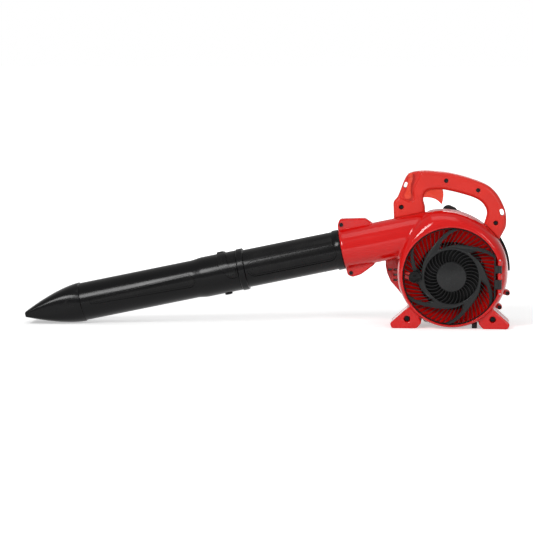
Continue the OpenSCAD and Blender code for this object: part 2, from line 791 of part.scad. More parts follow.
// A cross-section of the handle at pair i; solid has the rounded outer form, hollow a plain one
function handle_section(i, hollow) =
    let (
        o = handle_outer[i], d = unit(o - handle_inner[i]), m = (o + handle_inner[i]) / 2,
        a = norm(o - handle_inner[i]) / 2, b = handle_w / 2 - handle_wall,
        pts = hollow
            ? [for (k = [[1, 1], [1, -1], [-1, -1], [-1, 1]]) [k.x * (a - handle_wall), k.y * b]]
            : [
                for (k = [3:-1:0]) [a - handle_edge[k].y, handle_edge[k].x],
                for (k = [0:3]) [a - handle_edge[k].y, -handle_edge[k].x],
                for (k = [3:-1:0]) [-a + handle_edge[k].y, -handle_edge[k].x],
                for (k = [0:3]) [-a + handle_edge[k].y, handle_edge[k].x]
            ]
    )
    [for (q = pts) [m.x + q.x * d.x, handle_y + q.y, m.y + q.x * d.y]];

// An oval eye through the handle, its height h tilted by a
module eye(p, w, h, a, g = 0)
    translate(p) rotate(a) for (s = [-1, 1]) {
        translate([0, s * (h - w) / 2]) circle(w / 2 + g);
        translate([-w / 2 - g, -(h - w) / 2]) square([w + 2 * g, h - w]);
    }

module eyes(g = 0) {
    eye(front_eye, 6.4, 13, -20, g);
    eye(rear_eye, 8, 14.6, 15, g);
}

// Half of the handle, from the middle plane out to its side face; side is -1 near and 1 far
module handle_half(side) {
    face = handle_y + side * handle_w / 2;
    y0 = min(handle_y, face);
    y1 = max(handle_y, face);
    difference() {
        union() {
            difference() {
                loft([for (i = [0:handle_last]) handle_section(i, false)]);
                loft([for (i = [1:handle_last - 1]) handle_section(i, true)]);
                box(-200, 200, side < 0 ? y1 : y0 - handle_w, side < 0 ? y1 + handle_w : y0, 0, 300);
            }
            intersection() {
                slab(side < 0 ? y0 + 2 : y0, side < 0 ? y1 : y1 - 2) eyes(handle_wall - 0.5);
                slab(y0, y1) polygon(grown(handle_outline, -4));
            }
            for (p = grip_screws) rod_y(y0 + 1, y1 - (side < 0 ? 0 : 1), 6.5, p.x, p.y);
            for (p = base_screws)
                rod_y(side < 0 ? y0 + 1 : handle_y + lug_half + fit, side < 0 ? handle_y - lug_half - fit : y1 - 1,
                    7.5, p.x, p.y);
            trigger_boss(side, y0, y1);
        }
        slab(y0 - 1, y1 + 1) eyes();
        box(-73, -14, handle_y - trigger_w / 2 - trigger_gap, handle_y + trigger_w / 2 + trigger_gap, 148, 180);
        rod_y(handle_y - 14, handle_y + 14, trigger_pin_r + pin_fit, trigger_pivot.x, trigger_pivot.y);
        in_tube() translate([0, 0, -60]) cylinder(h = 300, r = duct_r + fit);
        slab(-1, rear_d + 1) polygon(scroll_points(1, fit));
        handle_lug_shapes(fit);
        if (side < 0) {
            for (p = grip_screws) rod_y(y0 - 1, y0 + 3, 4.4, p.x, p.y);
            for (p = base_screws) rod_y(y0 - 1, y0 + 8, 5, p.x, p.y);
            for (p = concat(grip_screws, base_screws)) rod_y(y0 - 1, y1 + 1, screw_hole, p.x, p.y);
            rod_y(y0 - 1, y0 + 8, lever_pin_r + pin_fit, lever_pivot.x, lever_pivot.y);
        } else {
            for (p = concat(grip_screws, base_screws)) rod_y(y0 - 1, y1 - 3, screw_hole - 0.3, p.x, p.y);
            rod_y(y1 - 6, y1 + 1, 3, -79, 137);
        }
    }
}

// The posts that hold the ends of the trigger pin
module trigger_boss(side, y0, y1) {
    inner = handle_y + side * (trigger_w / 2 + trigger_gap + (side < 0 ? 3.2 : 0));
    rod_y(min(inner, side < 0 ? y0 + 1 : y1 - 1), max(inner, side < 0 ? y0 + 1 : y1 - 1), 5,
        trigger_pivot.x, trigger_pivot.y);
}

module handle_left() color(handle_red) handle_half(-1);
module handle_right() color(handle_red) handle_half(1);

module handle_screws()
    color(dark_steel) {
        for (p = grip_screws) screw(p.x, handle_front + 3 - seat, p.y, 24);
        for (p = base_screws) screw(p.x, handle_front + 8 - seat, p.y, 20);
    }

module throttle_trigger()
    color(trigger_red)
        difference() {
            union() {
                slab(handle_y - trigger_w / 2, handle_y + trigger_w / 2) polygon(concat(
                    [[-70, 174], [-64, 177], [-24, 178]],
                    curve([[-19.8, 172], [-18.8, 163], [-20, 152], [-22.6, 144], [-26, 147.5], [-34, 153.5],
                        [-44, 157], [-54, 158], [-61.5, 157.6]], 3),
                    [[-68, 165]]
                ));
                rod_y(handle_y - trigger_w / 2, handle_y + trigger_w / 2, 5.5, trigger_pivot.x, trigger_pivot.y);
            }
            rod_y(0, 60, trigger_pin_r + pin_fit, trigger_pivot.x, trigger_pivot.y);
        }

module trigger_pin()
    color(steel) rod_y(handle_y - 13.8, handle_y + 13.8, trigger_pin_r, trigger_pivot.x, trigger_pivot.y);

module trigger_spring()
    color(steel)
        let (y1 = handle_y - trigger_w / 2 - trigger_gap + 0.1)
            ring_y(y1 - 2.9, y1, 5, trigger_pin_r + pin_fit, trigger_pivot.x, trigger_pivot.y);

module cruise_lever()
    color(trigger_red)
        let (y1 = handle_front - fit, y0 = y1 - lever_t)
            difference() {
                union() {
                    slab(y0, y1) polygon(concat(
                        curve([[-98.4, 166], [-94, 175], [-93, 184], [-91.4, 192], [-90.4, 200], [-91, 208.6]], 3),
                        curve([[-82, 209.4], [-81.4, 202], [-83, 193], [-86, 184], [-86.4, 175], [-85.4, 166]], 3)
                    ));
                    rod_y(y0, y1, 7.3, lever_pivot.x, lever_pivot.y);
                    box(-91, -82.4, y0 - 2.5, y0 + 1, 201, 208.6);
                }
                rod_y(y0 + 1.2, y1 + 1, lever_pin_r + pin_fit, lever_pivot.x, lever_pivot.y);
            }

module lever_pin()
    color(dark_steel)
        let (y0 = handle_front - fit - lever_t) {
            rod_y(y0 + 1.3, handle_front + 7, lever_pin_r, lever_pivot.x, lever_pivot.y);
        }

switch_at = [-76, 192];
module stop_switch()
    color(black) {
        box(switch_at.x - 7, switch_at.x + 7, handle_back + fit, handle_back + 2.5, switch_at.y - 5, switch_at.y + 5);
        for (x = [-4, 0, 4])
            box(switch_at.x + x - 1, switch_at.x + x + 1, handle_back + 2, handle_back + 5,
                switch_at.y - 4.5, switch_at.y + 4.5);
    }

// ---- Crankcase and crankshaft ----
case_front = rear_d + fit;
case_back = case_front + case_d;
cyl_y = (case_front + case_back) / 2;
deck_z = case_r + 2;
chamber_half = 17;
chamber_r = stroke / 2 + 14;
web_r = stroke / 2 + 10;
pin_r = 6;
bearing_r = 15;
bearing_w = 9;
seal_r = 13;
seal_w = 6;
spigot_wall = 1.5;
spigot_z = deck_z - 12;
mount_r = 43;

module case_half(side) {
    outer = side < 0 ? case_front : case_back;
    y0 = min(outer, cyl_y);
    y1 = max(outer, cyl_y);
    bearing_y = cyl_y + side * (chamber_half + bearing_w / 2);
    seal_y = outer - side * (seal_w / 2 + 1.5);
    difference() {
        union() {
            rod_y(y0, y1, case_r);
            rod_y(min(outer, outer - side * 5), max(outer, outer - side * 5), mount_r);
            box(-27, 27, max(y0, cyl_y - 27), min(y1, cyl_y + 27), 0, deck_z);
            for (a = [45, 135, 225, 315])
                rod_y(min(outer, cyl_y), max(outer, cyl_y), 6, (case_r + 1) * cos(a), (case_r + 1) * sin(a));
        }
        rod_y(cyl_y - chamber_half, cyl_y + chamber_half, chamber_r);
        rod_y(cyl_y - chamber_half - bearing_w - 0.1, cyl_y + chamber_half + bearing_w + 0.1, bearing_r + seat);
        rod_y(seal_y - seal_w / 2 - 2, seal_y + seal_w / 2 + 2, seal_r + seat);
        rod_y(case_front - 1, case_back + 1, shaft_r + 2);
        rod_z(0, deck_z + 1, bore / 2 + spigot_wall + 0.1, 0, cyl_y);
    }
}

module crankcase_front() color(alloy) case_half(-1);
module crankcase_back() color(alloy) case_half(1);

module main_bearings()
    color(steel)
        for (side = [-1, 1])
            let (y = cyl_y + side * (chamber_half + bearing_w / 2))
                ring_y(y - bearing_w / 2, y + bearing_w / 2, bearing_r, shaft_r + seat);

module oil_seals()
    color(rubber_black) {
        ring_y(case_front + 1.5, case_front + 1.5 + seal_w, seal_r, shaft_r + seat);
        ring_y(case_back - 1.5 - seal_w, case_back - 1.5, seal_r, shaft_r + seat);
    }

shaft_front = hub_front - 12;
shaft_back = case_back + 34;

module crankshaft()
    color(steel) {
        rod_y(shaft_front, cyl_y - 6, shaft_r);
        rod_y(cyl_y + 6, shaft_back, shaft_r);
        rod_y(cyl_y - 7, cyl_y + 7, pin_r, 0, stroke / 2);
        for (y = [cyl_y - 14, cyl_y + 6]) rod_y(y, y + 8, web_r);
    }

wrist_z = stroke / 2 + rod_len;
wrist_r = 4.5;
crown_z = wrist_z + 18;

// The big end is open below, clear of the crank pin's path
module connecting_rod()
    color(dark_steel)
        difference() {
            union() {
                rod_y(cyl_y - 5, cyl_y + 5, 8, 0, wrist_z);
                rod_y(cyl_y - 4.5, cyl_y + 4.5, pin_r + 5, 0, stroke / 2);
                box(-4, 4, cyl_y - 3, cyl_y + 3, stroke / 2 + 8, wrist_z - 5);
            }
            rod_y(cyl_y - 6, cyl_y + 6, wrist_r + seat, 0, wrist_z);
            rod_y(cyl_y - 6, cyl_y + 6, stroke / 2 + pin_r + 0.4);
            box(-20, 20, cyl_y - 6, cyl_y + 6, -60, stroke / 2);
        }

module wrist_pin() color(steel) rod_y(cyl_y - bore / 2 + 2, cyl_y + bore / 2 - 2, wrist_r, 0, wrist_z);

piston_r = bore / 2 - 0.15;
module piston()
    color(alloy)
        difference() {
            rod_z(wrist_z - 13, crown_z, piston_r, 0, cyl_y);
            rod_z(wrist_z - 14, wrist_z + 10, piston_r - 3, 0, cyl_y);
            rod_y(cyl_y - bore, cyl_y + bore, wrist_r + seat, 0, wrist_z);
            for (z = ring_heights)
                translate([0, cyl_y, z - 0.1]) difference() {
                    cylinder(h = 1.7, r = bore);
                    translate([0, 0, -1]) cylinder(h = 4, r = piston_r - 2);
                }
        }

ring_heights = [crown_z - 4, crown_z - 7.5];
module piston_rings()
    color(steel)
        for (z = ring_heights)
            translate([0, cyl_y, z]) difference() {
                cylinder(h = 1.5, r = bore / 2 - 0.05);
                translate([0, 0, -1]) cylinder(h = 4, r = piston_r - 1.9);
            }

// ---- Cylinder ----
barrel_r = bore / 2 + 4.5;
fin_half = 31;
fin_pitch = 6;
fin_start = deck_z + 8;
head_z = crown_z + 12;
exhaust_z = wrist_z - 14;
intake_z = deck_z + 8;
plug_r = 5;

module cylinder_shape() {
    box(-24, 24, cyl_y - 24, cyl_y + 24, deck_z, deck_z + 5);
    rod_z(spigot_z, deck_z + 1, bore / 2 + spigot_wall, 0, cyl_y);
    rod_z(deck_z, head_z, barrel_r, 0, cyl_y);
    for (i = [0:fin_count - 1])
        translate([0, cyl_y, fin_start + fin_pitch * i]) linear_extrude(height = 1.8)
            fin_outline(fin_half - (i > fin_count - 3 ? 4 * (i - fin_count + 3) : 0));
    box(-fin_half - 5, -10, cyl_y - 15, cyl_y + 15, exhaust_z - 10, exhaust_z + 10);
    box(10, fin_half + 2, cyl_y - 14, cyl_y + 14, intake_z - 7, intake_z + 11);
}

module fin_outline(r)
    difference() {
        square(2 * r, center = true);
        for (x = [-1, 1], y = [-1, 1])
            translate([x * r, y * r]) rotate(45) square(9, center = true);
    }

module cylinder_part()
    difference() {
        cylinder_shape();
        rod_z(spigot_z - 1, crown_z + 1.5, bore / 2, 0, cyl_y);
        rod_z(crown_z, head_z + 20, plug_r + 0.2, 0, cyl_y);
        rod_x(-fin_half - 6, 0, 7, cyl_y, exhaust_z);
        rod_x(0, fin_half + 3, 6.5, cyl_y, intake_z + 2);
        for (x = [-19, 19], y = [-19, 19]) rod_z(deck_z - 1, head_z + 20, 4.2, x, cyl_y + y);
    }

module cylinder_node() color(alloy) cylinder_part();

module cylinder_bolts()
    color(dark_steel)
        for (x = [-19, 19], y = [-19, 19])
            rod_z(deck_z + seat, deck_z + 10, 3.8, x, cyl_y + y);

// ---- Spark plug, coil and lead ----
module spark_plug()
    color(steel) {
        rod_z(crown_z + 3, head_z + 1, plug_r, 0, cyl_y);
        translate([0, cyl_y, head_z + seat]) cylinder(h = 8, r = 9, $fn = 6);
        rod_z(head_z + 7, head_z + 24, 5, 0, cyl_y);
    }

cap_z = head_z + 11;
cap_lean = 9.5;
module plug_cap()
    color(rubber_black)
        difference() {
            union() {
                rod_z(cap_z, head_z + 29, 9, 0, cyl_y);
                hull() {
                    translate([0, cyl_y, head_z + 29]) sphere(9, $fn = 32);
                    translate([-cap_lean, cyl_y, head_z + 30]) sphere(12, $fn = 32);
                }
                translate([-cap_lean, cyl_y, head_z + 30]) rotate([-90, 0, 0]) cylinder(h = 17, r = 4.5);
            }
            rod_z(cap_z - 1, head_z + 25, 5.2, 0, cyl_y);
        }

coil_y = case_back + 3;
coil_angle = 45;
lead_r = 2.6;
module ignition_coil()
    color(dark_steel)
        rotate([0, -coil_angle, 0]) {
            box(flywheel_r + 1, flywheel_r + 9, coil_y + seat, coil_y + 16, -12, 12);
            box(flywheel_r + 2, flywheel_r + 8, coil_y + 15, coil_y + 18, -8, 8);
        }

lead_points = [
    [37.6, coil_y + 9, 44.4], [44, coil_y + 8, 62], [46, coil_y + 4, 84], [37.5, coil_y - 4, 106],
    [12, coil_y - 10, 122], [-4, coil_y - 14, 128], [-cap_lean, cyl_y + 22, head_z + 30],
    [-cap_lean, cyl_y + 17, head_z + 30]
];
module ignition_lead() color(rubber_black) sweep(lead_points, lead_r);

// ---- Flywheel, shroud and starter ----
flywheel_front = case_back + 7;
hub_r_fly = 13;
module flywheel()
    color(alloy)
        difference() {
            union() {
                rod_y(flywheel_front, flywheel_front + 6, flywheel_r);
                rod_y(case_back + 1, case_back + 24, hub_r_fly);
                for (a = [0:30:330])
                    rotate([0, a, 0]) box(hub_r_fly - 1, flywheel_r - 1, flywheel_front + 5, flywheel_front + 18, -1.1, 1.1);
            }
            rod_y(case_back - 1, shaft_back + 5, shaft_r + seat);
        }

module flywheel_nut()
    color(steel)
        difference() {
            translate([0, case_back + 24 + seat + 7, 0]) rotate([90, 0, 0]) cylinder(h = 7, r = 10, $fn = 6);
            rod_y(case_back, shaft_back + 5, shaft_r + seat);
        }

shroud_r = 60;
shroud_back = case_back + 34;
hood_x = 36;
hood_top = head_z + 2;
module fan_shroud()
    color(black)
        difference() {
            union() {
                rod_y(case_back + 0.05, shroud_back, shroud_r);
                box(-hood_x, hood_x, cyl_y + fin_half + 2, shroud_back, 30, hood_top);
            }
            rod_y(case_back + shell_wall, shroud_back + 1, shroud_r - shell_wall);
            box(-hood_x + shell_wall, hood_x - shell_wall, case_back + shell_wall, shroud_back - shell_wall,
                20, hood_top - shell_wall);
            box(-hood_x + shell_wall, hood_x - shell_wall, cyl_y + fin_half + 1, case_back + shell_wall + 1,
                mount_r + 2, hood_top - shell_wall);
            rod_y(case_back - 1, case_back + 4, 24);
            rod_y(cyl_y, case_back, mount_r + 0.1);
            box(32, 48, coil_y + 3, coil_y + 14, 30, 66);
        }

recoil_front = shroud_back + fit;
pulley_front = shroud_back + 6;
pulley_r = 30;
post_r = 5;
guide_x = -52;
grip_r = 6.5;
grip_at = [guide_x - grip_r - 1, 42];
grip_y = pulley_front + 5;
module recoil_housing()
    color(black)
        difference() {
            union() {
                difference() {
                    union() {
                        rod_y(recoil_front, recoil_back - 4, shroud_r);
                        rod_y(recoil_back - 6, recoil_back, shroud_r - 8);
                    }
                    rod_y(recoil_front - 1, recoil_back - 4 - shell_wall, shroud_r - shell_wall);
                    rod_y(recoil_front - 1, recoil_back - shell_wall, shroud_r - 8 - shell_wall);
                }
                rod_y(pulley_front + 1, recoil_back - 1, post_r);
                box(guide_x, guide_x + 14, grip_y - 8, grip_y + 8, grip_at.y - 8, grip_at.y + 8);
            }
            rod_x(guide_x - 8, guide_x + 22, 3, grip_y, grip_at.y);
            for (a = [20:40:340])
                rotate([0, a, 0]) box(20, shroud_r - 13, recoil_back - 8, recoil_back + 1, -3.5, 3.5);
        }

module starter_pulley()
    color(dark_steel)
        difference() {
            union() {
                rod_y(pulley_front, pulley_front + 2, pulley_r);
                rod_y(pulley_front + 1, pulley_front + 9, pulley_r - 5);
                rod_y(pulley_front + 8, pulley_front + 10, pulley_r);
            }
            rod_y(pulley_front - 1, pulley_front + 20, post_r + pin_fit);
        }

module recoil_spring()
    color(steel)
        ring_y(pulley_front + 10.4, recoil_back - shell_wall - seat, 18, post_r + pin_fit);

module starter_grip()
    color(black)
        difference() {
            union() {
                rod_y(grip_y - 17, grip_y + 17, grip_r, grip_at.x, grip_at.y);
                for (s = [-17, 17]) translate([grip_at.x, grip_y + s, grip_at.y]) sphere(grip_r, $fn = 32);
                rod_x(grip_at.x, guide_x - fit, 5, grip_y, grip_at.y);
            }
            rod_x(grip_at.x - 8, grip_at.x, 3, grip_y, grip_at.y);
        }

// ---- Engine cowl ----
cowl_r = scroll_r - 7;
cowl_back = rear_d + 3;
cowl_rim = 9;
cowl_proud = 4.3;
function fan_points(r, a0, a1, steps) = [
    [0, 0], for (i = [0:steps]) let (a = a1 + (a0 - a1) * i / steps) r * [cos(a), sin(a)]
];
// The side of the cowl that stands proud of the fan housing
module cowl_side(g)
    intersection() {
        polygon(scroll_points(1, g));
        polygon(fan_points(150, 2, 42, 6));
    }

module engine_cowl()
    color(black)
        difference() {
            union() {
                slab(case_front, cowl_back) {
                    intersection() {
                        circle(cowl_r, $fn = 96);
                        translate([-120, -2]) square([240, 200]);
                    }
                    cowl_side(cowl_proud);
                }
                slab(cowl_back - 0.5, cowl_back + cowl_rim) difference() {
                    cowl_side(cowl_proud);
                    polygon(scroll_points(1, cowl_proud - shell_wall));
                }
            }
            rod_y(0, 200, mount_r + fit);
            in_tube() cylinder(h = 300, r = duct_r + fit);
            slab(0, 200) for (s = [-1, 1], k = [0:3])
                rotate(90 + s * (22 + 12 * k)) translate([62, -2.5]) square([30, 5]);
        }

// ---- Muffler ----
guard_wall = 2.2;
guard_front = cowl_back + fit;
guard_back = case_back - 0.5;
muffler_y0 = guard_front + 9;
muffler_y1 = case_back - 10;
module muffler()
    color(dark_steel)
        difference() {
            union() {
                slab(muffler_y0, muffler_y1) round_rect(-126, -54, -18, 56, 9);
                box(-55, -fin_half - 5 - fit, cyl_y - 15, cyl_y + 15, exhaust_z - 9, exhaust_z + 9);
                rod_y(muffler_y1 - 1, guard_back + 4, 6, -104, 8);
            }
            slab(muffler_y0 + 1.5, muffler_y1 - 1.5) round_rect(-124.5, -55.5, -16.5, 54.5, 8);
            rod_x(-60, 0, 7, cyl_y, exhaust_z);
            rod_y(muffler_y1 - 3, guard_back + 5, 4.5, -104, 8);
            for (y = [-11, 11]) rod_x(-60, 0, 1.8, cyl_y + y, exhaust_z);
        }

guard_points = [
    [-139, 12], [-139, 56], [-133, 62], [-56, 62], [-50, 56], [-50, -50], [-103, -50], [-117, -33],
    [-128, -21], [-135.5, -4]
];
guard_slots = [[-131, -25], [-121.5, -12]];
module muffler_guard()
    color(housing_red)
        difference() {
            union() {
                difference() {
                    slab(guard_front, guard_back) polygon(guard_points);
                    slab(guard_front + guard_wall, guard_back + 1) polygon(grown(guard_points, -guard_wall));
                }
                difference() {
                    rod_y(guard_front + 1, muffler_y0 - seat, 5, -126.5, 18);
                    rod_y(guard_front, muffler_y0 + 1, 2, -126.5, 18);
                }
            }
            for (x = [-134, -122, -110, -98], z = [-20, -9, 2, 30, 41])
                if (z > 0 || x > -130)
                    slab(guard_front - 1, guard_front + 4) translate([x, z]) square([8.5, 4.5]);
            for (y = [guard_front + 10:10:guard_back - 8], z = [10, 28, 46])
                box(-142, -136, y, y + 5, z, z + 12);
            for (y = [guard_front + 10:10:guard_back - 8], x = [-124:18:-70])
                box(x, x + 12, y, y + 5, 58, 64);
            box(-56, -40, cyl_y - 17, cyl_y + 17, exhaust_z - 12, 70);
        }

// ---- Carburettor and air filter ----
carb_z = intake_z + 2;
carb_x0 = fin_half + 2 + fit + 9;
carb_x1 = carb_x0 + 24;
throat_r = 7;
throttle_shaft_r = 2;
bulb_stem_r = 4;
module insulator()
    color(black)
        difference() {
            union() {
                box(fin_half + 2 + fit, carb_x0 - seat, cyl_y - 14, cyl_y + 14, carb_z - 9, carb_z + 9);
            }
            rod_x(0, 100, throat_r, cyl_y, carb_z);
        }

module carburettor()
    color(alloy)
        difference() {
            union() {
                box(carb_x0, carb_x1, cyl_y - 16, cyl_y + 16, carb_z - 14, carb_z + 14);
                box(carb_x0 + 3, carb_x1 - 3, cyl_y - 13, cyl_y + 13, carb_z - 19, carb_z + 18);
                rod_x(carb_x1 - 1, carb_x1 + 0.1, 12, cyl_y, carb_z);
            }
            rod_x(0, 100, throat_r, cyl_y, carb_z);
            rod_y(cyl_y + 10, cyl_y + 20, throttle_shaft_r + pin_fit, throttle_at.x, throttle_at.y);
            rod_z(carb_z - 24, carb_z - 11, bulb_stem_r + pin_fit, throttle_at.x, cyl_y);
        }

throttle_at = [carb_x0 + 12, carb_z + 4];
lever_y = cyl_y + 16 + fit;
module throttle_lever()
    color(steel) {
        rod_y(cyl_y + 11, lever_y + 2, throttle_shaft_r, throttle_at.x, throttle_at.y);
        slab(lever_y, lever_y + 2) {
            translate(throttle_at) circle(5);
            polygon([throttle_at + [-4, 2], throttle_at + [-2.5, 15], throttle_at + [2.5, 15], throttle_at + [4, 2]]);
            translate(throttle_at + [0, 15]) circle(3);
        }
    }

bulb_z = carb_z - 19;
module primer_bulb()
    color(foam_grey) {
        rod_z(bulb_z - 6, bulb_z + 3.8, bulb_stem_r, throttle_at.x, cyl_y);
        intersection() {
            translate([throttle_at.x, cyl_y, bulb_z - 5]) sphere(9, $fn = 32);
            rod_z(bulb_z - 20, bulb_z - 5, 12, throttle_at.x, cyl_y);
        }
    }

filter_x0 = carb_x1 + fit;
filter_x1 = filter_x0 + 24;
filter_z0 = carb_z - 40;
filter_z1 = carb_z + 12;
filter_half = 24;
filter_screw_r = 2;
module air_filter_base()
    color(black)
        difference() {
            union() {
                box(filter_x0, filter_x0 + 3.5, cyl_y - filter_half, cyl_y + filter_half, filter_z0, filter_z1);
                rod_x(filter_x0 + 3, filter_x0 + 16, 3.5, cyl_y, filter_mid);
            }
            rod_x(0, 100, throat_r, cyl_y, carb_z);
            rod_x(filter_x0 - 1, 100, filter_screw_r + pin_fit, cyl_y, filter_mid);
            rod_x(filter_x0 - 1, filter_x0 + 5, choke_pin_r + pin_fit, choke_at.x, choke_at.y);
        }

filter_mid = (filter_z0 + filter_z1) / 2;
cover_x0 = filter_x0 + 3.5 + fit;
module air_filter_cover()
    color(black)
        difference() {
            box(cover_x0, filter_x1, cyl_y - filter_half, cyl_y + filter_half, filter_z0, filter_z1);
            box(cover_x0 - 1, filter_x1 - 2.2, cyl_y - filter_half + 2.2, cyl_y + filter_half - 2.2,
                filter_z0 + 2.2, filter_z1 - 2.2);
            rod_x(cover_x0, filter_x1 + 1, 3.8, cyl_y, filter_mid);
            for (z = [filter_z0 + 8:8:filter_z1 - 6])
                if (abs(z - filter_mid) > 12)
                    box(filter_x1 - 0.8, filter_x1 + 1, cyl_y - 18, cyl_y + 18, z, z + 3);
        }

module filter_foam()
    color(foam_grey)
        difference() {
            box(cover_x0 + 0.2, cover_x0 + 12, cyl_y - filter_half + 2.5, cyl_y + filter_half - 2.5,
                filter_z0 + 2.5, filter_z1 - 2.5);
            rod_x(0, 120, 4.1, cyl_y, filter_mid);
        }

module filter_knob()
    color(black) {
        difference() {
            rod_x(filter_x1 + fit, filter_x1 + 6, 9, cyl_y, filter_mid);
            for (a = [0:45:315])
                rod_x(filter_x1, filter_x1 + 7, 1.5, cyl_y + 9.6 * cos(a), filter_mid + 9.6 * sin(a));
        }
        rod_x(filter_x0 + 8, filter_x1 + 1, filter_screw_r, cyl_y, filter_mid);
    }

choke_r = 3.7;
choke_pin_r = 1.8;
choke_at = [cyl_y + filter_half - 4, filter_z1 - 6];
module choke_lever()
    color(trigger_red)
        translate([filter_x0 - 2.8, choke_at.x, choke_at.y]) {
            rotate([0, 90, 0]) cylinder(h = 2.5, r = choke_r);
            rotate([0, 90, 0]) cylinder(h = 5.8, r = choke_pin_r);
            translate([0, -3, 0]) cube([2.5, 6, 18]);
        }

// ---- Fuel ----
tank_back = tank_front + 98;
tank_top = -shroud_r - fit;
tank_low = -axis_h + pad_h;
tank_half = 62;
tank_wall = 2.4;
filler = [tank_front + 60, (tank_top + tank_low) / 2 + 4];
module fuel_tank()
    color(tank_white)
        difference() {
            union() {
                slab(tank_front, tank_back) round_rect(-tank_half, tank_half, tank_low, tank_top, 9);
                rod_x(-tank_half - 5, -tank_half + 5, 12, filler.x, filler.y);
                for (y = [tank_front + 12, tank_front + 46]) box(-14, 14, y, y + 12, tank_top - 1, -case_r + 4);
            }
            rod_y(case_front, case_back, case_r + seat);
            slab(tank_front + tank_wall, tank_back - tank_wall)
                round_rect(-tank_half + tank_wall, tank_half - tank_wall, tank_low + tank_wall, tank_top - tank_wall, 7);
            rod_x(-tank_half - 6, -tank_half + 8, 9, filler.x, filler.y);
        }

module fuel_cap()
    color(black) {
        difference() {
            rod_x(-tank_half - 14, -tank_half - 5 - fit, 16, filler.x, filler.y);
            for (a = [0:30:330])
                rod_x(-tank_half - 15, -tank_half - 4, 1.6, filler.x + 16.6 * cos(a), filler.y + 16.6 * sin(a));
        }
        rod_x(-tank_half - 8, -tank_half + 4, 8.6, filler.x, filler.y);
    }

line_points = [
    [tank_half - 12, cyl_y - 8, tank_top + 0.1], [tank_half - 11, cyl_y - 8, tank_top + 14],
    [tank_half - 8, cyl_y - 10, -20], [tank_half - 8, cyl_y - 12, 10], [throttle_at.x, cyl_y - 12.4, carb_z - 19.1]
];
module fuel_lines()
    color(tank_white) {
        sweep(line_points, 2);
        sweep([for (p = line_points) [p.x + (p.z < 0 ? 7 : 5), p.y + 2 * (p.z < 0 ? 1 : 0), p.z]], 2);
    }

cable_points = [
    [-75, handle_y, 158], [-77, handle_y + 3, 148], [-79, handle_y + 9, 140], [-79, handle_back + 4, 136],
    [-74, cowl_back + 4, 126], [-58, cowl_back + 5, 117], [-30, cowl_back + 4, 113], [6, cowl_back + 4, 113],
    [34, cowl_back + 8, 107], [54, handle_back + 34, 92], [57, lever_y - 4, 78],
    [throttle_at.x, lever_y + 4, throttle_at.y + 26], [throttle_at.x, lever_y + 4, throttle_at.y + 19]
];
module throttle_cable() color(rubber_black) sweep(cable_points, 1.8);

stand() fan_cover();
stand() fan_housing_back();
stand() housing_screws();
stand() clamp_screws();
stand() rubber_pads();
stand() intake_grille();
stand() hinge_pin();
stand() grille_knob();
stand() impeller();
stand() impeller_nut();
stand() upper_tube();
stand() lower_tube();
stand() nozzle();
stand() handle_left();
stand() handle_right();
stand() handle_screws();
stand() throttle_trigger();
stand() trigger_pin();
stand() trigger_spring();
stand() cruise_lever();
stand() lever_pin();
stand() stop_switch();
stand() throttle_cable();
stand() crankcase_front();
stand() crankcase_back();
stand() main_bearings();
stand() oil_seals();
stand() crankshaft();
stand() connecting_rod();
stand() wrist_pin();
stand() piston();
stand() piston_rings();
stand() cylinder_node();  // cylinder
stand() cylinder_bolts();
stand() flywheel();
stand() flywheel_nut();
stand() ignition_coil();
stand() ignition_lead();
stand() spark_plug();
stand() plug_cap();
stand() fan_shroud();
stand() recoil_housing();
stand() starter_pulley();
stand() recoil_spring();
stand() starter_grip();
stand() engine_cowl();
stand() muffler();
stand() muffler_guard();
stand() insulator();
stand() carburettor();
stand() throttle_lever();
stand() primer_bulb();
stand() air_filter_base();
stand() choke_lever();
stand() filter_foam();
stand() air_filter_cover();
stand() filter_knob();
stand() fuel_tank();
stand() fuel_cap();
stand() fuel_lines();
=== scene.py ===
import json
import math

import bmesh
import bpy
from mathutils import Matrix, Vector


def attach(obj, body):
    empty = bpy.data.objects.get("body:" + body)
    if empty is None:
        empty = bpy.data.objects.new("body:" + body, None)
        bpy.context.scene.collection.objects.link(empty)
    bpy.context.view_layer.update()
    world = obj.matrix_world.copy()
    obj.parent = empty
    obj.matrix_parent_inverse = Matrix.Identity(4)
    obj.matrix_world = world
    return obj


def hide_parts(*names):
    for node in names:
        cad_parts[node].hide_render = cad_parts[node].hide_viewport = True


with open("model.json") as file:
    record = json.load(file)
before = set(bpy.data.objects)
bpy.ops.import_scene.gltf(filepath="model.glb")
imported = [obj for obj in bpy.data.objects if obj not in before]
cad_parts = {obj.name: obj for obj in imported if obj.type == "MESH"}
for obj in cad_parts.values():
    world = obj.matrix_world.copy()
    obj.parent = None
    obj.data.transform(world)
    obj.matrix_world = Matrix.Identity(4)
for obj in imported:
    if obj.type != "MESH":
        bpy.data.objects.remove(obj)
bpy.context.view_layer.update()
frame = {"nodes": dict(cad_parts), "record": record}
scene = bpy.context.scene

# Lengths are in millimetres round the crank axis, and are put into the frame by at().
CRANK = (383.801, -56.0, 109.0)
FRONT, BACK = -54.0, 42.0  # the front and back faces of the fan housing
SEAM = 0.25  # half the gap between the housing's halves
TUBE_RISE, TUBE_TILT = 98.0, math.radians(11.9)
DUCT_R, DUCT_END, CLAMP = 41.5, 232.5, 74.0
TUBE_R, BELL_R, TUBE_WALL, SLIDE = 39.5, 42.0, 2.0, 0.3
SHELL = 2.5
COLLAR_R, EYE_R, COLLAR_FLOOR = 100.2, 70.0, -48.0
HINGE_X, HINGE_Y, PIN_BORE = 98.6, -59.0, 2.1
KNOB_X, KNOB_BORE = 74.4, 2.8


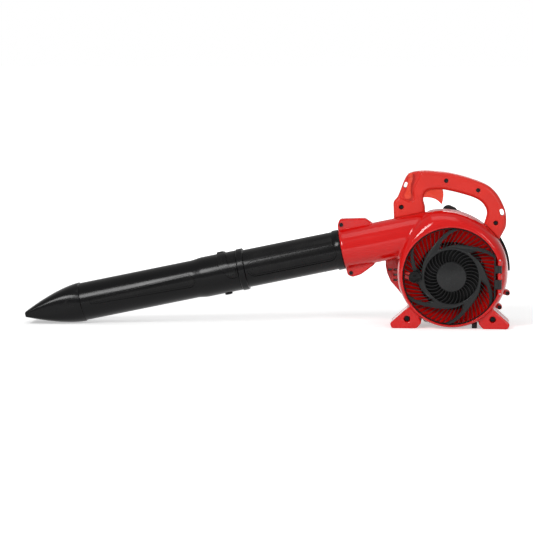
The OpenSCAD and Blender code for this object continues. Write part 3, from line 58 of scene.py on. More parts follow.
def at(x, y, z):
    """A point in the frame, in metres, from lengths round the crank axis."""
    return Vector(((x + CRANK[0]) / 1000, (y + CRANK[1]) / 1000, (z + CRANK[2]) / 1000))


def on_tube(u, v, y=0.0):
    """A point at distance u down the tube and height v over its axis."""
    c, s = math.cos(TUBE_TILT), math.sin(TUBE_TILT)
    return (-u * c - v * s, y, TUBE_RISE - u * s + v * c)


def around(r, deg, x=0.0, z=0.0):
    """The point at radius r and an angle in degrees round (x, z)."""
    a = math.radians(deg)
    return x + r * math.cos(a), z + r * math.sin(a)


# ---- Shaping tools ----
def solid(name, points, faces):
    """A closed mesh with its faces turned outward."""
    mesh = bpy.data.meshes.new(name)
    mesh.from_pydata([at(*p) for p in points], [], faces)
    mesh.validate()
    b = bmesh.new()
    b.from_mesh(mesh)
    bmesh.ops.recalc_face_normals(b, faces=b.faces)
    b.to_mesh(mesh)
    b.free()
    made = bpy.data.objects.new(name, mesh)
    scene.collection.objects.link(made)
    return made


def loft(name, rings, closed=False):
    """A solid through rings of points; closed joins the last ring to the first."""
    n, m = len(rings[0]), len(rings)
    points = [p for ring in rings for p in ring]
    faces = [] if closed else [list(range(n)), list(range((m - 1) * n, m * n))[::-1]]
    for k in range(m if closed else m - 1):
        for i in range(n):
            j, q = (i + 1) % n, (k + 1) % m
            faces.append([k * n + i, k * n + j, q * n + j, q * n + i])
    return solid(name, points, faces)


def prism(name, outline, y0, y1, soft=0.0, soft_back=True):
    """An outline in X and Z carried from y0 to y1, with its end edges rounded by soft."""
    n = len(outline)
    made = solid(
        name,
        [(x, y0, z) for x, z in outline] + [(x, y1, z) for x, z in outline],
        [list(range(n)), list(range(n, 2 * n))[::-1]]
        + [[i, (i + 1) % n, n + (i + 1) % n, n + i] for i in range(n)],
    )
    if soft:
        b = bmesh.new()
        b.from_mesh(made.data)
        ends = [f for f in b.faces if len(f.verts) == n]
        low = at(0, y0, 0).y
        if not soft_back:
            ends = [f for f in ends if abs(f.verts[0].co.y - low) < 1e-6]
        edges = {e for f in ends for e in f.edges}
        bmesh.ops.bevel(
            b, geom=list(edges), offset=soft / 1000, segments=4, profile=0.5, affect="EDGES"
        )
        b.to_mesh(made.data)
        b.free()
    return made


def rod(name, start, end, r, sides=48, end_r=None):
    """A round bar from start to end, which may taper to end_r."""
    a, b = Vector(start), Vector(end)
    t = (b - a).normalized()
    u = t.cross(Vector((0, 1, 0)) if abs(t.y) < 0.9 else Vector((1, 0, 0))).normalized()
    v = t.cross(u)
    rings = []
    for p, q in ((a, r), (b, r if end_r is None else end_r)):
        turns = [2 * math.pi * i / sides for i in range(sides)]
        rings.append([tuple(p + q * (u * math.cos(g) + v * math.sin(g))) for g in turns])
    return loft(name, rings)


def rod_y(name, x, z, y0, y1, r, sides=48):
    """A round bar along Y."""
    return rod(name, (x, y0, z), (x, y1, z), r, sides)


def along_tube(name, u0, u1, r, sides=160):
    """A round bar on the tube's axis."""
    return rod(name, on_tube(u0, 0), on_tube(u1, 0), r, sides)


def turned(name, profile, centre=(0, 0), sides=96):
    """A ring turned round the Y axis at centre, from a closed profile of radius and y."""
    rings = []
    for i in range(sides):
        a = 2 * math.pi * i / sides
        rings.append(
            [(centre[0] + r * math.cos(a), y, centre[1] + r * math.sin(a)) for r, y in profile]
        )
    return loft(name, rings, closed=True)


def turned_on_tube(name, profile, sides=128):
    """A ring turned round the tube's axis, from a closed profile of distance and radius."""
    rings = []
    for i in range(sides):
        a = 2 * math.pi * i / sides
        rings.append([on_tube(u, r * math.cos(a), r * math.sin(a)) for u, r in profile])
    return loft(name, rings, closed=True)


def block(name, x0, x1, y0, y1, z0, z1):
    """A plain box, for cutting and keeping."""
    return prism(name, [(x0, z0), (x1, z0), (x1, z1), (x0, z1)], y0, y1)


def settle(made):
    """Makes the modifiers of a piece part of its mesh."""
    bpy.context.view_layer.update()
    mesh = bpy.data.meshes.new_from_object(
        made.evaluated_get(bpy.context.evaluated_depsgraph_get())
    )
    made.modifiers.clear()
    old = made.data
    made.data = mesh
    bpy.data.meshes.remove(old)
    return made


def shape(made, add=(), cut=(), keep=()):
    """Adds, cuts and keeps with other solids, which are used up, in that order."""
    for way, tools in (("INTERSECT", keep), ("UNION", add), ("DIFFERENCE", cut)):
        for tool in tools:
            m = made.modifiers.new("work", "BOOLEAN")
            m.operation, m.object, m.solver = way, tool, "MANIFOLD"
    settle(made)
    for tool in [*keep, *add, *cut]:
        bpy.data.objects.remove(tool)
    return made


def copy_of(whole, name):
    """A piece's twin with a mesh of its own."""
    made = whole.copy()
    made.data = whole.data.copy()
    scene.collection.objects.link(made)
    made.name = name
    return made


def heaped(name, parts):
    """One mesh of several solids that lie in each other, for even_out to fuse."""
    b = bmesh.new()
    for part in parts:
        b.from_mesh(part.data)
        bpy.data.objects.remove(part)
    mesh = bpy.data.meshes.new(name)
    b.to_mesh(mesh)
    b.free()
    made = bpy.data.objects.new(name, mesh)
    scene.collection.objects.link(made)
    return made


def even_out(made, grain, passes, hold=0.5):
    """Fuses a mesh into an even skin of squares of that size and softens its edges."""
    m = made.modifiers.new("skin", "REMESH")
    m.mode, m.voxel_size, m.adaptivity = "VOXEL", grain / 1000, 0.0
    s = made.modifiers.new("soften", "SMOOTH")
    s.factor, s.iterations = hold, passes
    settle(made)
    return smooth(made)


def smooth(made, angle=None):
    """Shades a piece smooth, with edges sharper than angle left crisp."""
    for p in made.data.polygons:
        p.use_smooth = True
    if angle is not None:
        m = made.modifiers.new("crisp", "EDGE_SPLIT")
        m.split_angle, m.use_edge_sharp = math.radians(angle), False
    return made


def spline(a, b, c, d, t):
    """The value at share t from b to c on a Catmull-Rom curve through a, b, c and d."""
    return 0.5 * (
        2 * b + t * (c - a) + t * t * (2 * a - 5 * b + 4 * c - d) + t**3 * (3 * b - a - 3 * c + d)
    )


def smoothed_line(points, steps):
    """A smooth curve through points, with steps to each span."""
    out = []
    for i in range(len(points) - 1):
        p = [points[max(i - 1, 0)], points[i], points[i + 1], points[min(i + 2, len(points) - 1)]]
        for k in range(steps):
            t = k / steps
            out.append(tuple(spline(*(q[c] for q in p), t) for c in range(len(p[1]))))
    return out + [tuple(points[-1])]


def rounded(outline, r, steps=6):
    """An outline with its corners rounded by r."""
    out = []
    n = len(outline)
    for i in range(n):
        p, a, b = Vector(outline[i]), Vector(outline[i - 1]), Vector(outline[(i + 1) % n])
        d, e = (a - p), (b - p)
        cut = min(r, 0.45 * d.length, 0.45 * e.length)
        s, t = p + d.normalized() * cut, p + e.normalized() * cut
        for k in range(steps + 1):
            q = k / steps
            c = s * (1 - q) ** 2 + p * 2 * q * (1 - q) + t * q * q
            out.append((c.x, c.y))
    return out


# ---- Scroll outline, as in the solid model ----
# The scroll is a round casing that swells into a wider circle, which meets the duct at JOIN.
SCROLL_R, SCROLL_OVER, SCROLL_UP = 114.0, 1.5, 5.7
WIDE_X, WIDE_Z = -21.0, 6.5
SWELL, FADE = 20, 48  # degrees over which the swelling begins and ends
BLEND = 24  # the power that rounds where the two circles meet
FRONT_ROUND, BACK_ROUND = 40, 8  # how deep the casing's edges are rounded
DUCT_LIFT = -WIDE_X * math.sin(TUBE_TILT) + (WIDE_Z - TUBE_RISE) * math.cos(TUBE_TILT)
WIDE_R = DUCT_R - DUCT_LIFT
JOIN = math.degrees(
    math.atan2(
        WIDE_Z + WIDE_R * math.cos(TUBE_TILT), WIDE_X - WIDE_R * math.sin(TUBE_TILT)
    )
)
CREST_R = COLLAR_R + 2.3


def wide_at(a):
    """How far out the wider circle lies at an angle in radians."""
    b = WIDE_X * math.cos(a) + WIDE_Z * math.sin(a)
    return b + math.sqrt(b * b + WIDE_R**2 - WIDE_X**2 - WIDE_Z**2)


def round_at(a):
    """How far out the round casing lies at an angle in radians."""
    b = SCROLL_OVER * math.cos(a) + SCROLL_UP * math.sin(a)
    return b + math.sqrt(b * b + SCROLL_R**2 - SCROLL_OVER**2 - SCROLL_UP**2)


def grown_at(a):
    """How far out the round casing and the wider circle lie together."""
    return (round_at(a) ** BLEND + wide_at(a) ** BLEND) ** (1 / BLEND)


def scroll_at(deg):
    """How far out the casing lies at an angle."""
    a, join = math.radians(deg), math.radians(JOIN)
    if deg < 0:
        return round_at(a)
    if deg <= JOIN:
        return round_at(a) + (grown_at(a) - round_at(a)) * min(1, deg / SWELL)
    return round_at(a) + (grown_at(join) - round_at(join)) * max(0, 1 - (deg - JOIN) / FADE)


def scroll_points(share=1.0, grow=0.0, steps=288):
    """The casing's outline, drawn in towards the crest round the collar by 1 - share."""
    base = CREST_R + min(grow, 0)
    turns = [180 - 360 * i / steps for i in range(steps)]
    return [around(base + (scroll_at(deg) + grow - base) * share, deg) for deg in turns]


def scroll_ring(y, share=1.0, grow=0.0):
    return [(x, y, z) for x, z in scroll_points(share, grow)]


def scroll_front(name, inward, far):
    """The casing from its front face back to far, a wall's thickness inward."""
    rings = [
        scroll_ring(FRONT + inward + FRONT_ROUND * (1 - math.cos(a)), math.sin(a), -inward)
        for a in (math.radians(90 * k / 20) for k in range(21))
    ]
    return loft(name, rings + [scroll_ring(far, 1, -inward)])


def scroll_back(name, inward, near):
    """The casing from near to its back face, a wall's thickness inward."""
    rings = [scroll_ring(near, 1, -inward)]
    for k in range(9):
        a = math.radians(90 * k / 8)
        in_y, in_r = BACK_ROUND * (1 - math.sin(a)), BACK_ROUND * (1 - math.cos(a))
        rings.append(scroll_ring(BACK - inward - in_y, 1, -inward - in_r))
    return loft(name, rings)


# ---- Fan housing ----
FOOT_XS, FOOT_Z = (-91.0, 85.0), -89.0
FOOT = [(-2, 24), (35.5, -9.5), (31.5, -20), (-20, -20), (-30, -8), (-20, 16)]
EARS = (
    [(0, 40), (-1, 51), (-6, 60), (-10, 63), (-60, 54.6), (-74, 40)],
    [(0, -38), (-1, -54), (-10, -60.5), (-28, -58.7), (-60, -44), (-63, -38)],
)
LUG_ANGLES, LUG_R, LUG_OUT, LUG_ROOT = (-18, -34), 5.4, 7.2, -2.2
SCREW_HOLE = 2.4
CLAMP_SCREWS = [on_tube(DUCT_END - 9, v) for v in (51, -51)]
BASE_SCREWS = [(-105.5, 137.5), (89.6, 106)]  # through the handle into the back half's posts


def lug_at(deg, out=LUG_OUT):
    return around(scroll_at(deg) + out, deg)


def rim_lug(deg, y0, y1):
    """A round screw lug on the casing's rim."""
    centre, root = lug_at(deg), lug_at(deg, LUG_ROOT)
    outline = [around(LUG_R, deg + 90, *root)]
    outline += [around(LUG_R, deg + t, *centre) for t in range(90, -91, -12)]
    outline.append(around(LUG_R, deg - 90, *root))
    return prism("lug", outline, y0, y1, soft=0.8)


def housing_body():
    """The whole fan casing with its duct, melted together, before it is split and hollowed."""
    parts = [
        scroll_front("scroll_front", 0, 1),
        scroll_back("scroll_back", 0, -1),
        along_tube("duct", 32, DUCT_END, DUCT_R),
    ]
    return even_out(heaped("housing_body", parts), 1.3, 26)


def feet(y0, y1, soft_back):
    """The pair of splayed feet under the casing."""
    made = []
    for x, side in zip(FOOT_XS, (-1, 1)):
        outline = rounded([(x + side * p[0], FOOT_Z + p[1]) for p in FOOT], 4)
        made.append(prism("foot", outline, y0, y1, soft=2.6, soft_back=soft_back))
    return made


def clamp_ears(y0, y1):
    """The ears above and below the duct's mouth, which its screws draw together."""
    made = []
    for ear in EARS:
        outline = rounded([on_tube(DUCT_END + p[0], p[1])[::2] for p in ear], 4)
        made.append(prism("ear", outline, y0, y1, soft=2.2))
    return made


def duct_hollow():
    return along_tube("bore", 35, DUCT_END + 30, DUCT_R - SHELL, 128)


def collar():
    """The upright wall round the grille's seat."""
    inner, outer, front, back = COLLAR_R - 1, COLLAR_R + 2.4, FRONT + 1.6, COLLAR_FLOOR + SHELL
    return turned("collar", [(inner, front), (outer, front), (outer, back), (inner, back)], sides=192)


def inlet_cone():
    """The funnel from the grille's seat down to the impeller's eye."""
    floor = COLLAR_FLOOR
    profile = [
        (EYE_R, floor + 10.4), (EYE_R + 0.5, floor + 9.9), (EYE_R + 1, floor + 9.7),
        (COLLAR_R - 0.6, floor + 0.3), (COLLAR_R + 1, floor), (COLLAR_R + 1, floor + SHELL),
        (EYE_R + 0.6, floor + 10 + SHELL), (EYE_R, floor + 9.6 + SHELL),
    ]
    return turned("inlet_cone", profile, sides=192)


def fan_cover(body):
    """The front half of the casing, with the grille's seat, hinge lugs and knob tab."""
    made = copy_of(body, "fan_cover_shell")
    shape(made, keep=[block("half", -400, 200, -80, -SEAM, -130, 260)])
    shape(made, cut=[scroll_front("hollow", SHELL, 2), duct_hollow()])
    shape(
        made,
        add=[collar()],
        cut=[rod_y("collar_bore", 0, 0, FRONT - 2, COLLAR_FLOOR - 0.3, COLLAR_R, 192)],
    )
    tab = [(-96, -8), (-KNOB_X, -8), (-70, -6.4), (-66.6, 0), (-70, 6.4), (-KNOB_X, 8), (-96, 8)]
    shape(
        made,
        add=[
            *feet(-46, -SEAM, False),
            *clamp_ears(-11, -SEAM),
            *[rim_lug(a, -12, -SEAM) for a in LUG_ANGLES],
            prism("tab", tab, COLLAR_FLOOR, COLLAR_FLOOR + SHELL),
        ],
    )
    for z0, z1 in ((24, 34), (-5, 8), (-33, -25)):
        shape(
            made,
            add=[
                rod("hinge_lug", (HINGE_X, HINGE_Y, z0), (HINGE_X, HINGE_Y, z1), 4.5, 32),
                block("hinge_root", HINGE_X, HINGE_X + 4.5, HINGE_Y, HINGE_Y + 10, z0, z1),
            ],
        )
    shape(
        made,
        cut=[
            *[rod_y("screw_hole", x, FOOT_Z, -60, -36, 6.5) for x in FOOT_XS],
            *[rod_y("lug_hole", *lug_at(a), -20, 1, SCREW_HOLE, 24) for a in LUG_ANGLES],
            *[rod_y("clamp_hole", x, z, -20, 1, SCREW_HOLE, 24) for x, _, z in CLAMP_SCREWS],
            rod("hinge_bore", (HINGE_X, HINGE_Y, -60), (HINGE_X, HINGE_Y, 60), PIN_BORE, 24),
            rod_y("knob_bore", -KNOB_X, 0, -60, -40, KNOB_BORE, 24),
        ],
    )
    even_out(made, 1.0, 3)
    return smooth(shape(made, add=[inlet_cone()]))


def fan_housing_back(body):
    """The engine's half of the casing, with the posts that carry the handle."""
    made = copy_of(body, "fan_housing_shell")
    shape(made, keep=[block("half", -400, 200, SEAM, 80, -130, 260)])
    shape(made, cut=[scroll_back("hollow", SHELL, -2), duct_hollow()])
    posts = []
    for (x, z), (rx, rz) in zip(BASE_SCREWS, ((-105.5, 101.5), (75.6, 66))):
        root = [(x - 8, z), (rx - 8, rz), (rx + 8, rz), (x + 8, z)]
        posts += [rod_y("post", x, z, 19, 29, 8), prism("post_root", root, 19, 29)]
    shape(
        made,
        add=[
            *feet(SEAM, 36, True),
            *clamp_ears(SEAM, 11),
            *[rim_lug(a, SEAM, 14) for a in LUG_ANGLES],
            *posts,
        ],
    )
    shape(
        made,
        cut=[
            rod_y("crank_hole", 0, 0, 20, 60, 20, 64),
            *[rod_y("post_hole", x, z, 10, 40, SCREW_HOLE, 24) for x, z in BASE_SCREWS],
            *[rod_y("clamp_hole", x, z, -2, 12.5, 2.1, 24) for x, _, z in CLAMP_SCREWS],
        ],
    )
    return even_out(made, 1.15, 3)


# ---- Handle ----
HANDLE_Y, HANDLE_W, HANDLE_EDGE = 24.0, 34.0, 9.0
HANDLE_FRONT = HANDLE_Y - HANDLE_W / 2
HANDLE_OUTER = [
    (-121.3, 92), (-121.5, 112), (-122, 132), (-121.8, 148), (-114, 158.5), (-107, 175),
    (-99, 195.5), (-91, 206.5), (-78, 211.2), (-57, 213.2), (-30, 211.5), (-4.3, 208.4),
    (32.4, 199.2), (68.9, 185), (89.2, 168.3), (102.9, 146.1), (110.6, 124.2), (111, 100),
    (104, 84), (97.4, 71.9),
]
HANDLE_INNER = [
    (-56.3, 92), (-56.3, 108), (-56.3, 124), (-57, 138), (-59.5, 148), (-59.5, 157),
    (-57, 165.5), (-52, 170.5), (-44, 173.6), (-32, 174.4), (-18, 173.6), (-2, 171),
    (20, 165.6), (43, 158.4), (58, 150.3), (67.5, 139), (70.9, 127), (68, 112), (63, 98),
    (60, 82),
]
GRIP_SCREWS = [(-13, 193), (53, 173.6)]
LEVER_RECESS = [
    (-62, 222), (-66.5, 203), (-80.8, 174), (-77, 153), (-84, 147.5), (-96, 150),
    (-108, 157), (-124, 165), (-124, 222),
]


def handle_section(outer, inner):
    """A rounded section of the handle between a point of its outer and its inner edge."""
    o, i = Vector(outer), Vector(inner)
    mid, half, d = (o + i) / 2, (o - i).length / 2, (o - i).normalized()
    turn = min(HANDLE_EDGE, half * 0.5)
    pts = []
    for sx, sy in ((1, 1), (1, -1), (-1, -1), (-1, 1)):
        steps = range(0, 91, 15)
        for deg in steps if sx * sy < 0 else reversed(steps):
            a = math.radians(deg)
            across = half - turn * (1 - math.cos(a))
            deep = HANDLE_W / 2 - HANDLE_EDGE * (1 - math.sin(a))
            pts.append((sx * across, sy * deep))
    return [(mid.x + q[0] * d.x, HANDLE_Y + q[1], mid.y + q[0] * d.y) for q in pts]


def eye(x, z, w, h, tilt):
    """The outline of a long hole with round ends."""
    c, s = math.cos(math.radians(tilt)), math.sin(math.radians(tilt))
    out = []
    for k in range(24):
        a = 2 * math.pi * k / 24
        px = w / 2 * math.cos(a)
        pz = w / 2 * math.sin(a) + (h - w) / 2 * (1 if math.sin(a) >= 0 else -1)
        out.append((x + px * c - pz * s, z + px * s + pz * c))
    return out


def handle_whole():
    """The loop handle in one piece, with room for the trigger's swing up into the grip."""
    outer, inner = smoothed_line(HANDLE_OUTER, 7), smoothed_line(HANDLE_INNER, 7)
    made = loft("handle_whole", [handle_section(o, i) for o, i in zip(outer, inner)])
    return shape(
        made,
        cut=[
            prism("lever_recess", rounded(LEVER_RECESS, 8), 0, HANDLE_FRONT + 3.2),
            prism("front_eye", eye(-97.1, 183.6, 6.4, 13, -20), 0, 60),
            prism("rear_eye", eye(102, 128, 8, 14.6, 15), 0, 60),
            block("trigger_slot", -74, -14, 13.6, 34.4, 148, 193),
            along_tube("duct_clear", -60, 240, DUCT_R + 0.5, 128),
            prism("scroll_clear", scroll_points(1, 0.5), -1, 43),
        ],
    )


def handle_half(whole, side):
    """The half on the intake's side, -1, or on the engine's side, 1."""
    made = copy_of(whole, "handle_half_" + ("near" if side < 0 else "far"))
    y0, y1 = (0, HANDLE_Y - 0.2) if side < 0 else (HANDLE_Y + 0.2, 60)
    shape(made, keep=[block("half", -150, 150, y0, y1, 50, 240)])
    if side < 0:
        face = HANDLE_FRONT
        shape(
            made,
            cut=[
                *[rod_y("screw_recess", x, z, face - 2, face + 3, 4.4) for x, z in GRIP_SCREWS],
                *[rod_y("base_recess", x, z, face - 2, face + 8, 5) for x, z in BASE_SCREWS],
            ],
        )
    return even_out(made, 1.0, 4)


# ---- Exhaust side ----
GUARD_INSIDE = [
    (-137, 13), (-137, 55), (-132, 60), (-57, 60), (-52, 55), (-52, -48), (-102, -48),
    (-115.5, -32), (-126.5, -19.8), (-133.6, -3.5),
]


def heat_shield():
    """The plate between the guard's front wall and the muffler, held by the guard's post."""
    made = prism("heat_shield", GUARD_INSIDE, 48.4, 49.4)
    return shape(made, cut=[rod_y("post_hole", -126.5, 18, 47, 51, 4.9)])


# ---- Intake grille ----
GRILLE_R, BAND_R, BAND_OUTER, LOUVRE_R, HUB_R, DOME = 99.5, 67.0, 61.5, 55.6, 31.0, 8.0
RIB_COUNT, RIB_START, RIB_LEAN, RIB_HALF = 60, 60.0, 37, 0.8
ARM_COUNT, FIRST_ARM = 6, 85
LOUVRE_COUNT, LOUVRE_TWIST, LOUVRE_HALF = 36, 15, 0.5
PLATE_BACK = COLLAR_FLOOR - 0.3

# The edges of a pinwheel arm from its root on the band to its tip on the rim, each row as the
# outer edge's radius and degrees back from the tip and then the inner edge's
ARM = [
    (60.4, 88, 57, 88), (62.2, 78, 57, 76), (64.4, 68, 57, 64), (66.7, 57, 57, 52),
    (69.6, 45, 57.5, 41), (72.8, 37, 59, 33.5), (75.8, 31, 63.5, 28.2), (79.2, 26.2, 68.6, 25.2),
    (83, 21.2, 72.6, 23), (87.2, 16.6, 77.6, 17), (91.6, 11.4, 83.6, 11), (95.4, 6.6, 90, 5),
    (98.2, 2, 96.4, -2.6),
]
# An arm's section: the share of the way from its outer to its inner edge, and the drop there
ARM_SECTION = [
    (0, 6), (0, 1.2), (0.03, 0.4), (0.08, 0.05), (0.15, 0), (0.22, 0.15), (0.32, 0.6), (0.6, 0.75),
    (0.82, 0.5), (0.92, 0.45), (0.98, 0.8), (1, 1.5), (1, 6),
]


def dome_y(r):
    """The height of the grille's sloping face at radius r, as a y."""
    slope = (DOME - 3) / (GRILLE_R - 2 - BAND_R)
    return FRONT - (DOME - 2 - (r - BAND_R) * slope)


def side_at(line, k):
    """The direction square to a line of points at its point k."""
    t = (Vector(line[min(k + 1, len(line) - 1)]) - Vector(line[max(k - 1, 0)])).normalized()
    return Vector((-t.y, t.x))


def blade(name, centre, w, depth, sunk):
    """A rib of half width w along a line of points, its crown sunk under the grille's face."""
    rings = []
    e = min(0.55, w * 0.6)
    for k, (x, z) in enumerate(centre):
        s = side_at(centre, k)
        top = dome_y(math.hypot(x, z)) + sunk
        section = [
            (-w, top + depth), (-w, top + e), (-w + e * 0.4, top + e * 0.35), (-w + e, top),
            (w - e, top), (w - e * 0.4, top + e * 0.35), (w, top + e), (w, top + depth),
        ]
        rings.append([(x + s.x * q, y, z + s.y * q) for q, y in section])
    return loft(name, rings)


def ring_profile(r0, r1, y0, y1, e):
    """A ring's section with its front corners rounded by e; y0 is the front."""
    return [
        (r0, y1), (r0, y0 + e), (r0 + e * 0.3, y0 + e * 0.3), (r0 + e, y0),
        (r1 - e, y0), (r1 - e * 0.3, y0 + e * 0.3), (r1, y0 + e), (r1, y1),
    ]


def rib(turn):
    """A thin rib that leans back from the band out to the rim."""
    start = Vector(around(1, turn)) * RIB_START
    run = Vector(around(1, turn - RIB_LEAN))
    pts = [start + run * (50 * k / 25) for k in range(26)]
    return blade("rib", [(p.x, p.y) for p in pts if p.length < GRILLE_R - 1.6], RIB_HALF, 3.0, 0.4)


def louvre(turn):
    """An upright blade that curves from the hub out to the band."""
    left, right, line = [], [], []
    for t in (k / 8 for k in range(9)):
        line.append(around(HUB_R - 1 + (LOUVRE_R + 2 - HUB_R) * t, turn - LOUVRE_TWIST * t * t))
    for k, p in enumerate(line):
        s = side_at(line, k) * LOUVRE_HALF
        left.append((p[0] + s.x, p[1] + s.y))
        right.append((p[0] - s.x, p[1] - s.y))
    return prism("louvre", left + right[::-1], FRONT - DOME + 1.5, COLLAR_FLOOR - 2)


def arm_solid(tip):
    """A pinwheel arm with a raised outer edge, dished between its edges."""
    rings = []
    for r0, a0, r1, a1 in smoothed_line(ARM, 5):
        p, q = Vector(around(r0, tip + a0)), Vector(around(r1, tip + a1))
        ring = []
        for share, drop in ARM_SECTION:
            m = p.lerp(q, share)
            ring.append((m.x, max(dome_y(m.length) - 1.2, FRONT - DOME + 0.1) + drop, m.y))
        rings.append(ring)
    return loft("arm", rings)


def grille():
    """The hinged intake grille: hub, louvres, band, pinwheel arms, ribs and rim in one moulding."""
    face, foot = FRONT - DOME, COLLAR_FLOOR - 2
    rim = ring_profile(GRILLE_R - 2.0, GRILLE_R, FRONT + 1.6, PLATE_BACK, 0.6)
    made = turned("grille_moulding", rim, sides=192)
    band = turned("band", ring_profile(LOUVRE_R, BAND_OUTER, face + 0.4, FRONT + 1, 1.6), sides=144)
    hub_profile = [
        (0.01, foot), (0.01, face), (HUB_R - 3, face + 0.1), (HUB_R - 1, face + 0.6),
        (HUB_R, face + 1.8), (HUB_R, foot),
    ]
    back_plate = rod_y("back_plate", 0, 0, COLLAR_FLOOR - 3, PLATE_BACK, LOUVRE_R + 2, 96)
    shape(
        made,
        add=[
            band,
            turned("hub", hub_profile, sides=96),
            back_plate,
            *[rib(360 / RIB_COUNT * i) for i in range(RIB_COUNT)],
            *[arm_solid(FIRST_ARM - 360 / ARM_COUNT * k) for k in range(ARM_COUNT)],
            *[louvre(360 / LOUVRE_COUNT * i) for i in range(LOUVRE_COUNT)],
        ],
    )
    shape(
        made,
        add=[rod_y("knob_boss", -KNOB_X, 0, face, FRONT + 2, 9, 48)],
        cut=[block("hinge_flat", HINGE_X - 8.6, 120, -80, 0, -60, 60)],
    )
    bar = block("hinge_bar", HINGE_X - 11.4, HINGE_X - 8.6, HINGE_Y + 2, PLATE_BACK, -60, 60)
    shape(bar, keep=[rod_y("round", 0, 0, -80, 0, GRILLE_R, 128)])
    parts = [bar]
    for z0, z1 in ((8.4, 23.6), (-24.6, -5.4)):
        parts += [
            rod("knuckle", (HINGE_X, HINGE_Y, z0), (HINGE_X, HINGE_Y, z1), 4.3, 32),
            block("knuckle_root", HINGE_X - 9.6, HINGE_X, HINGE_Y - 2, HINGE_Y + 2.5, z0, z1),
        ]
    shape(made, add=parts)
    shape(
        made,
        cut=[
            rod("pin_bore", (HINGE_X, HINGE_Y, -50), (HINGE_X, HINGE_Y, 50), PIN_BORE, 24),
            rod_y("knob_bore", -KNOB_X, 0, -80, 0, KNOB_BORE, 24),
        ],
    )
    return smooth(made, 35)


# ---- Blow tube ----
UPPER_COLLAR = DUCT_END + 0.3
UPPER_END = UPPER_COLLAR + 218
BELL_START = UPPER_END + 0.3
LOWER_START = BELL_START + 74
NOZZLE_START, NOZZLE_LEN = LOWER_START + 263, 118.1
TIP_H, TIP_W = 6.2, 45  # half the height and width of the nozzle's flat mouth
SPIGOT_WALL = 1.8
PANEL_UP, BEAD_UP, BEAD_W, GROOVE_W, GROOVE_DEEP = 0.8, 0.9, 2.0, 2.2, 1.2
LENGTH = (200, 900)  # more than the whole tube
PAST = (190, 910)


def capsule(u0, v0, r0, u1, v1, r1):
    """The outline of a long shape with a round end of its own radius at each end."""
    near = [around(r1, a, u1, v1) for a in range(90, -91, -10)]
    return near + [around(r0, a, u0, v0) for a in range(-90, -271, -10)]


def tube_outline(points):
    return [on_tube(u, v)[::2] for u, v in points]


def panel_prism(name, near, far, reach, grow=0.0):
    """A panel's outline, given by its round ends and grown, carried through the tube."""
    ends = [(u, v, q + grow) for u, v, q in (near, far)]
    return prism(name, tube_outline(capsule(*ends[0], *ends[1])), -reach, reach)


def raised_panel(near, far):
    """A slightly raised panel with a bead round it, on both sides of the tube."""
    up = TUBE_R + PANEL_UP
    skin = along_tube("panel", *LENGTH, up)
    shape(skin, keep=[panel_prism("panel_edge", near, far, 60)])
    bead = along_tube("bead", *LENGTH, up + BEAD_UP)
    shape(
        bead,
        keep=[panel_prism("bead_edge", near, far, 60)],
        cut=[panel_prism("bead_inside", near, far, 70, -BEAD_W)],
    )
    shape(skin, add=[bead])
    return shape(skin, cut=[along_tube("bore", *PAST, TUBE_R - 0.6, 128)])


def panel_groove(near, far):
    """The groove that runs round a raised panel."""
    return shape(
        along_tube("groove", *LENGTH, TUBE_R + 6),
        keep=[panel_prism("groove_edge", near, far, 60, GROOVE_W)],
        cut=[
            panel_prism("groove_inside", near, far, 70),
            along_tube("groove_floor", *PAST, TUBE_R - GROOVE_DEEP),
        ],
    )


def upper_tube():
    """The tube that the duct clamps, up to its collar at the bayonet joint."""
    start, spigot = DUCT_END - CLAMP + 34, DUCT_R - SHELL - SLIDE
    inner = spigot - TUBE_WALL
    near, far = UPPER_COLLAR, UPPER_END
    profile = [
        (start, inner), (start, spigot), (near - 0.1, spigot), (near, TUBE_R + 1.4),
        (near + 0.8, TUBE_R + 2.2), (near + 13, TUBE_R + 2.2), (near + 14, TUBE_R + 1.6),
        (near + 14.6, TUBE_R), (far - 14.8, TUBE_R), (far - 14, TUBE_R + 3.2),
        (far - 13, TUBE_R + 4.3), (far - 1.2, TUBE_R + 4.3), (far, TUBE_R + 3.2), (far, TUBE_R),
        (LOWER_START - 5, TUBE_R), (LOWER_START - 4, TUBE_R - 1), (LOWER_START - 4, inner),
    ]
    made = turned_on_tube("upper_tube_moulding", profile)
    ends = (near + 26, 0, 15), (far - 36, 0, 15)
    shape(made, add=[raised_panel(*ends)], cut=[panel_groove(*ends)])
    return smooth(made, 32)


# The hooked band on the bell over the bayonet's slot, as distances from the bell and heights
BAND_POINTS = [(38, 50), (37, 20), (24, -3), (17, -9), (4, -9), (4, 10), (12, 9), (18, 20), (22, 50)]


def band_part(name, outline, start, r, floor):
    """A layer of the bell's skin within an outline, between two radii."""
    edge = tube_outline([(BELL_START + u, v) for u, v in outline])
    return shape(
        along_tube(name, start, BELL_START + 60, r),
        keep=[prism("edge", edge, -60, 0)],
        cut=[along_tube("floor", BELL_START - 5, BELL_START + 70, floor, 128)],
    )


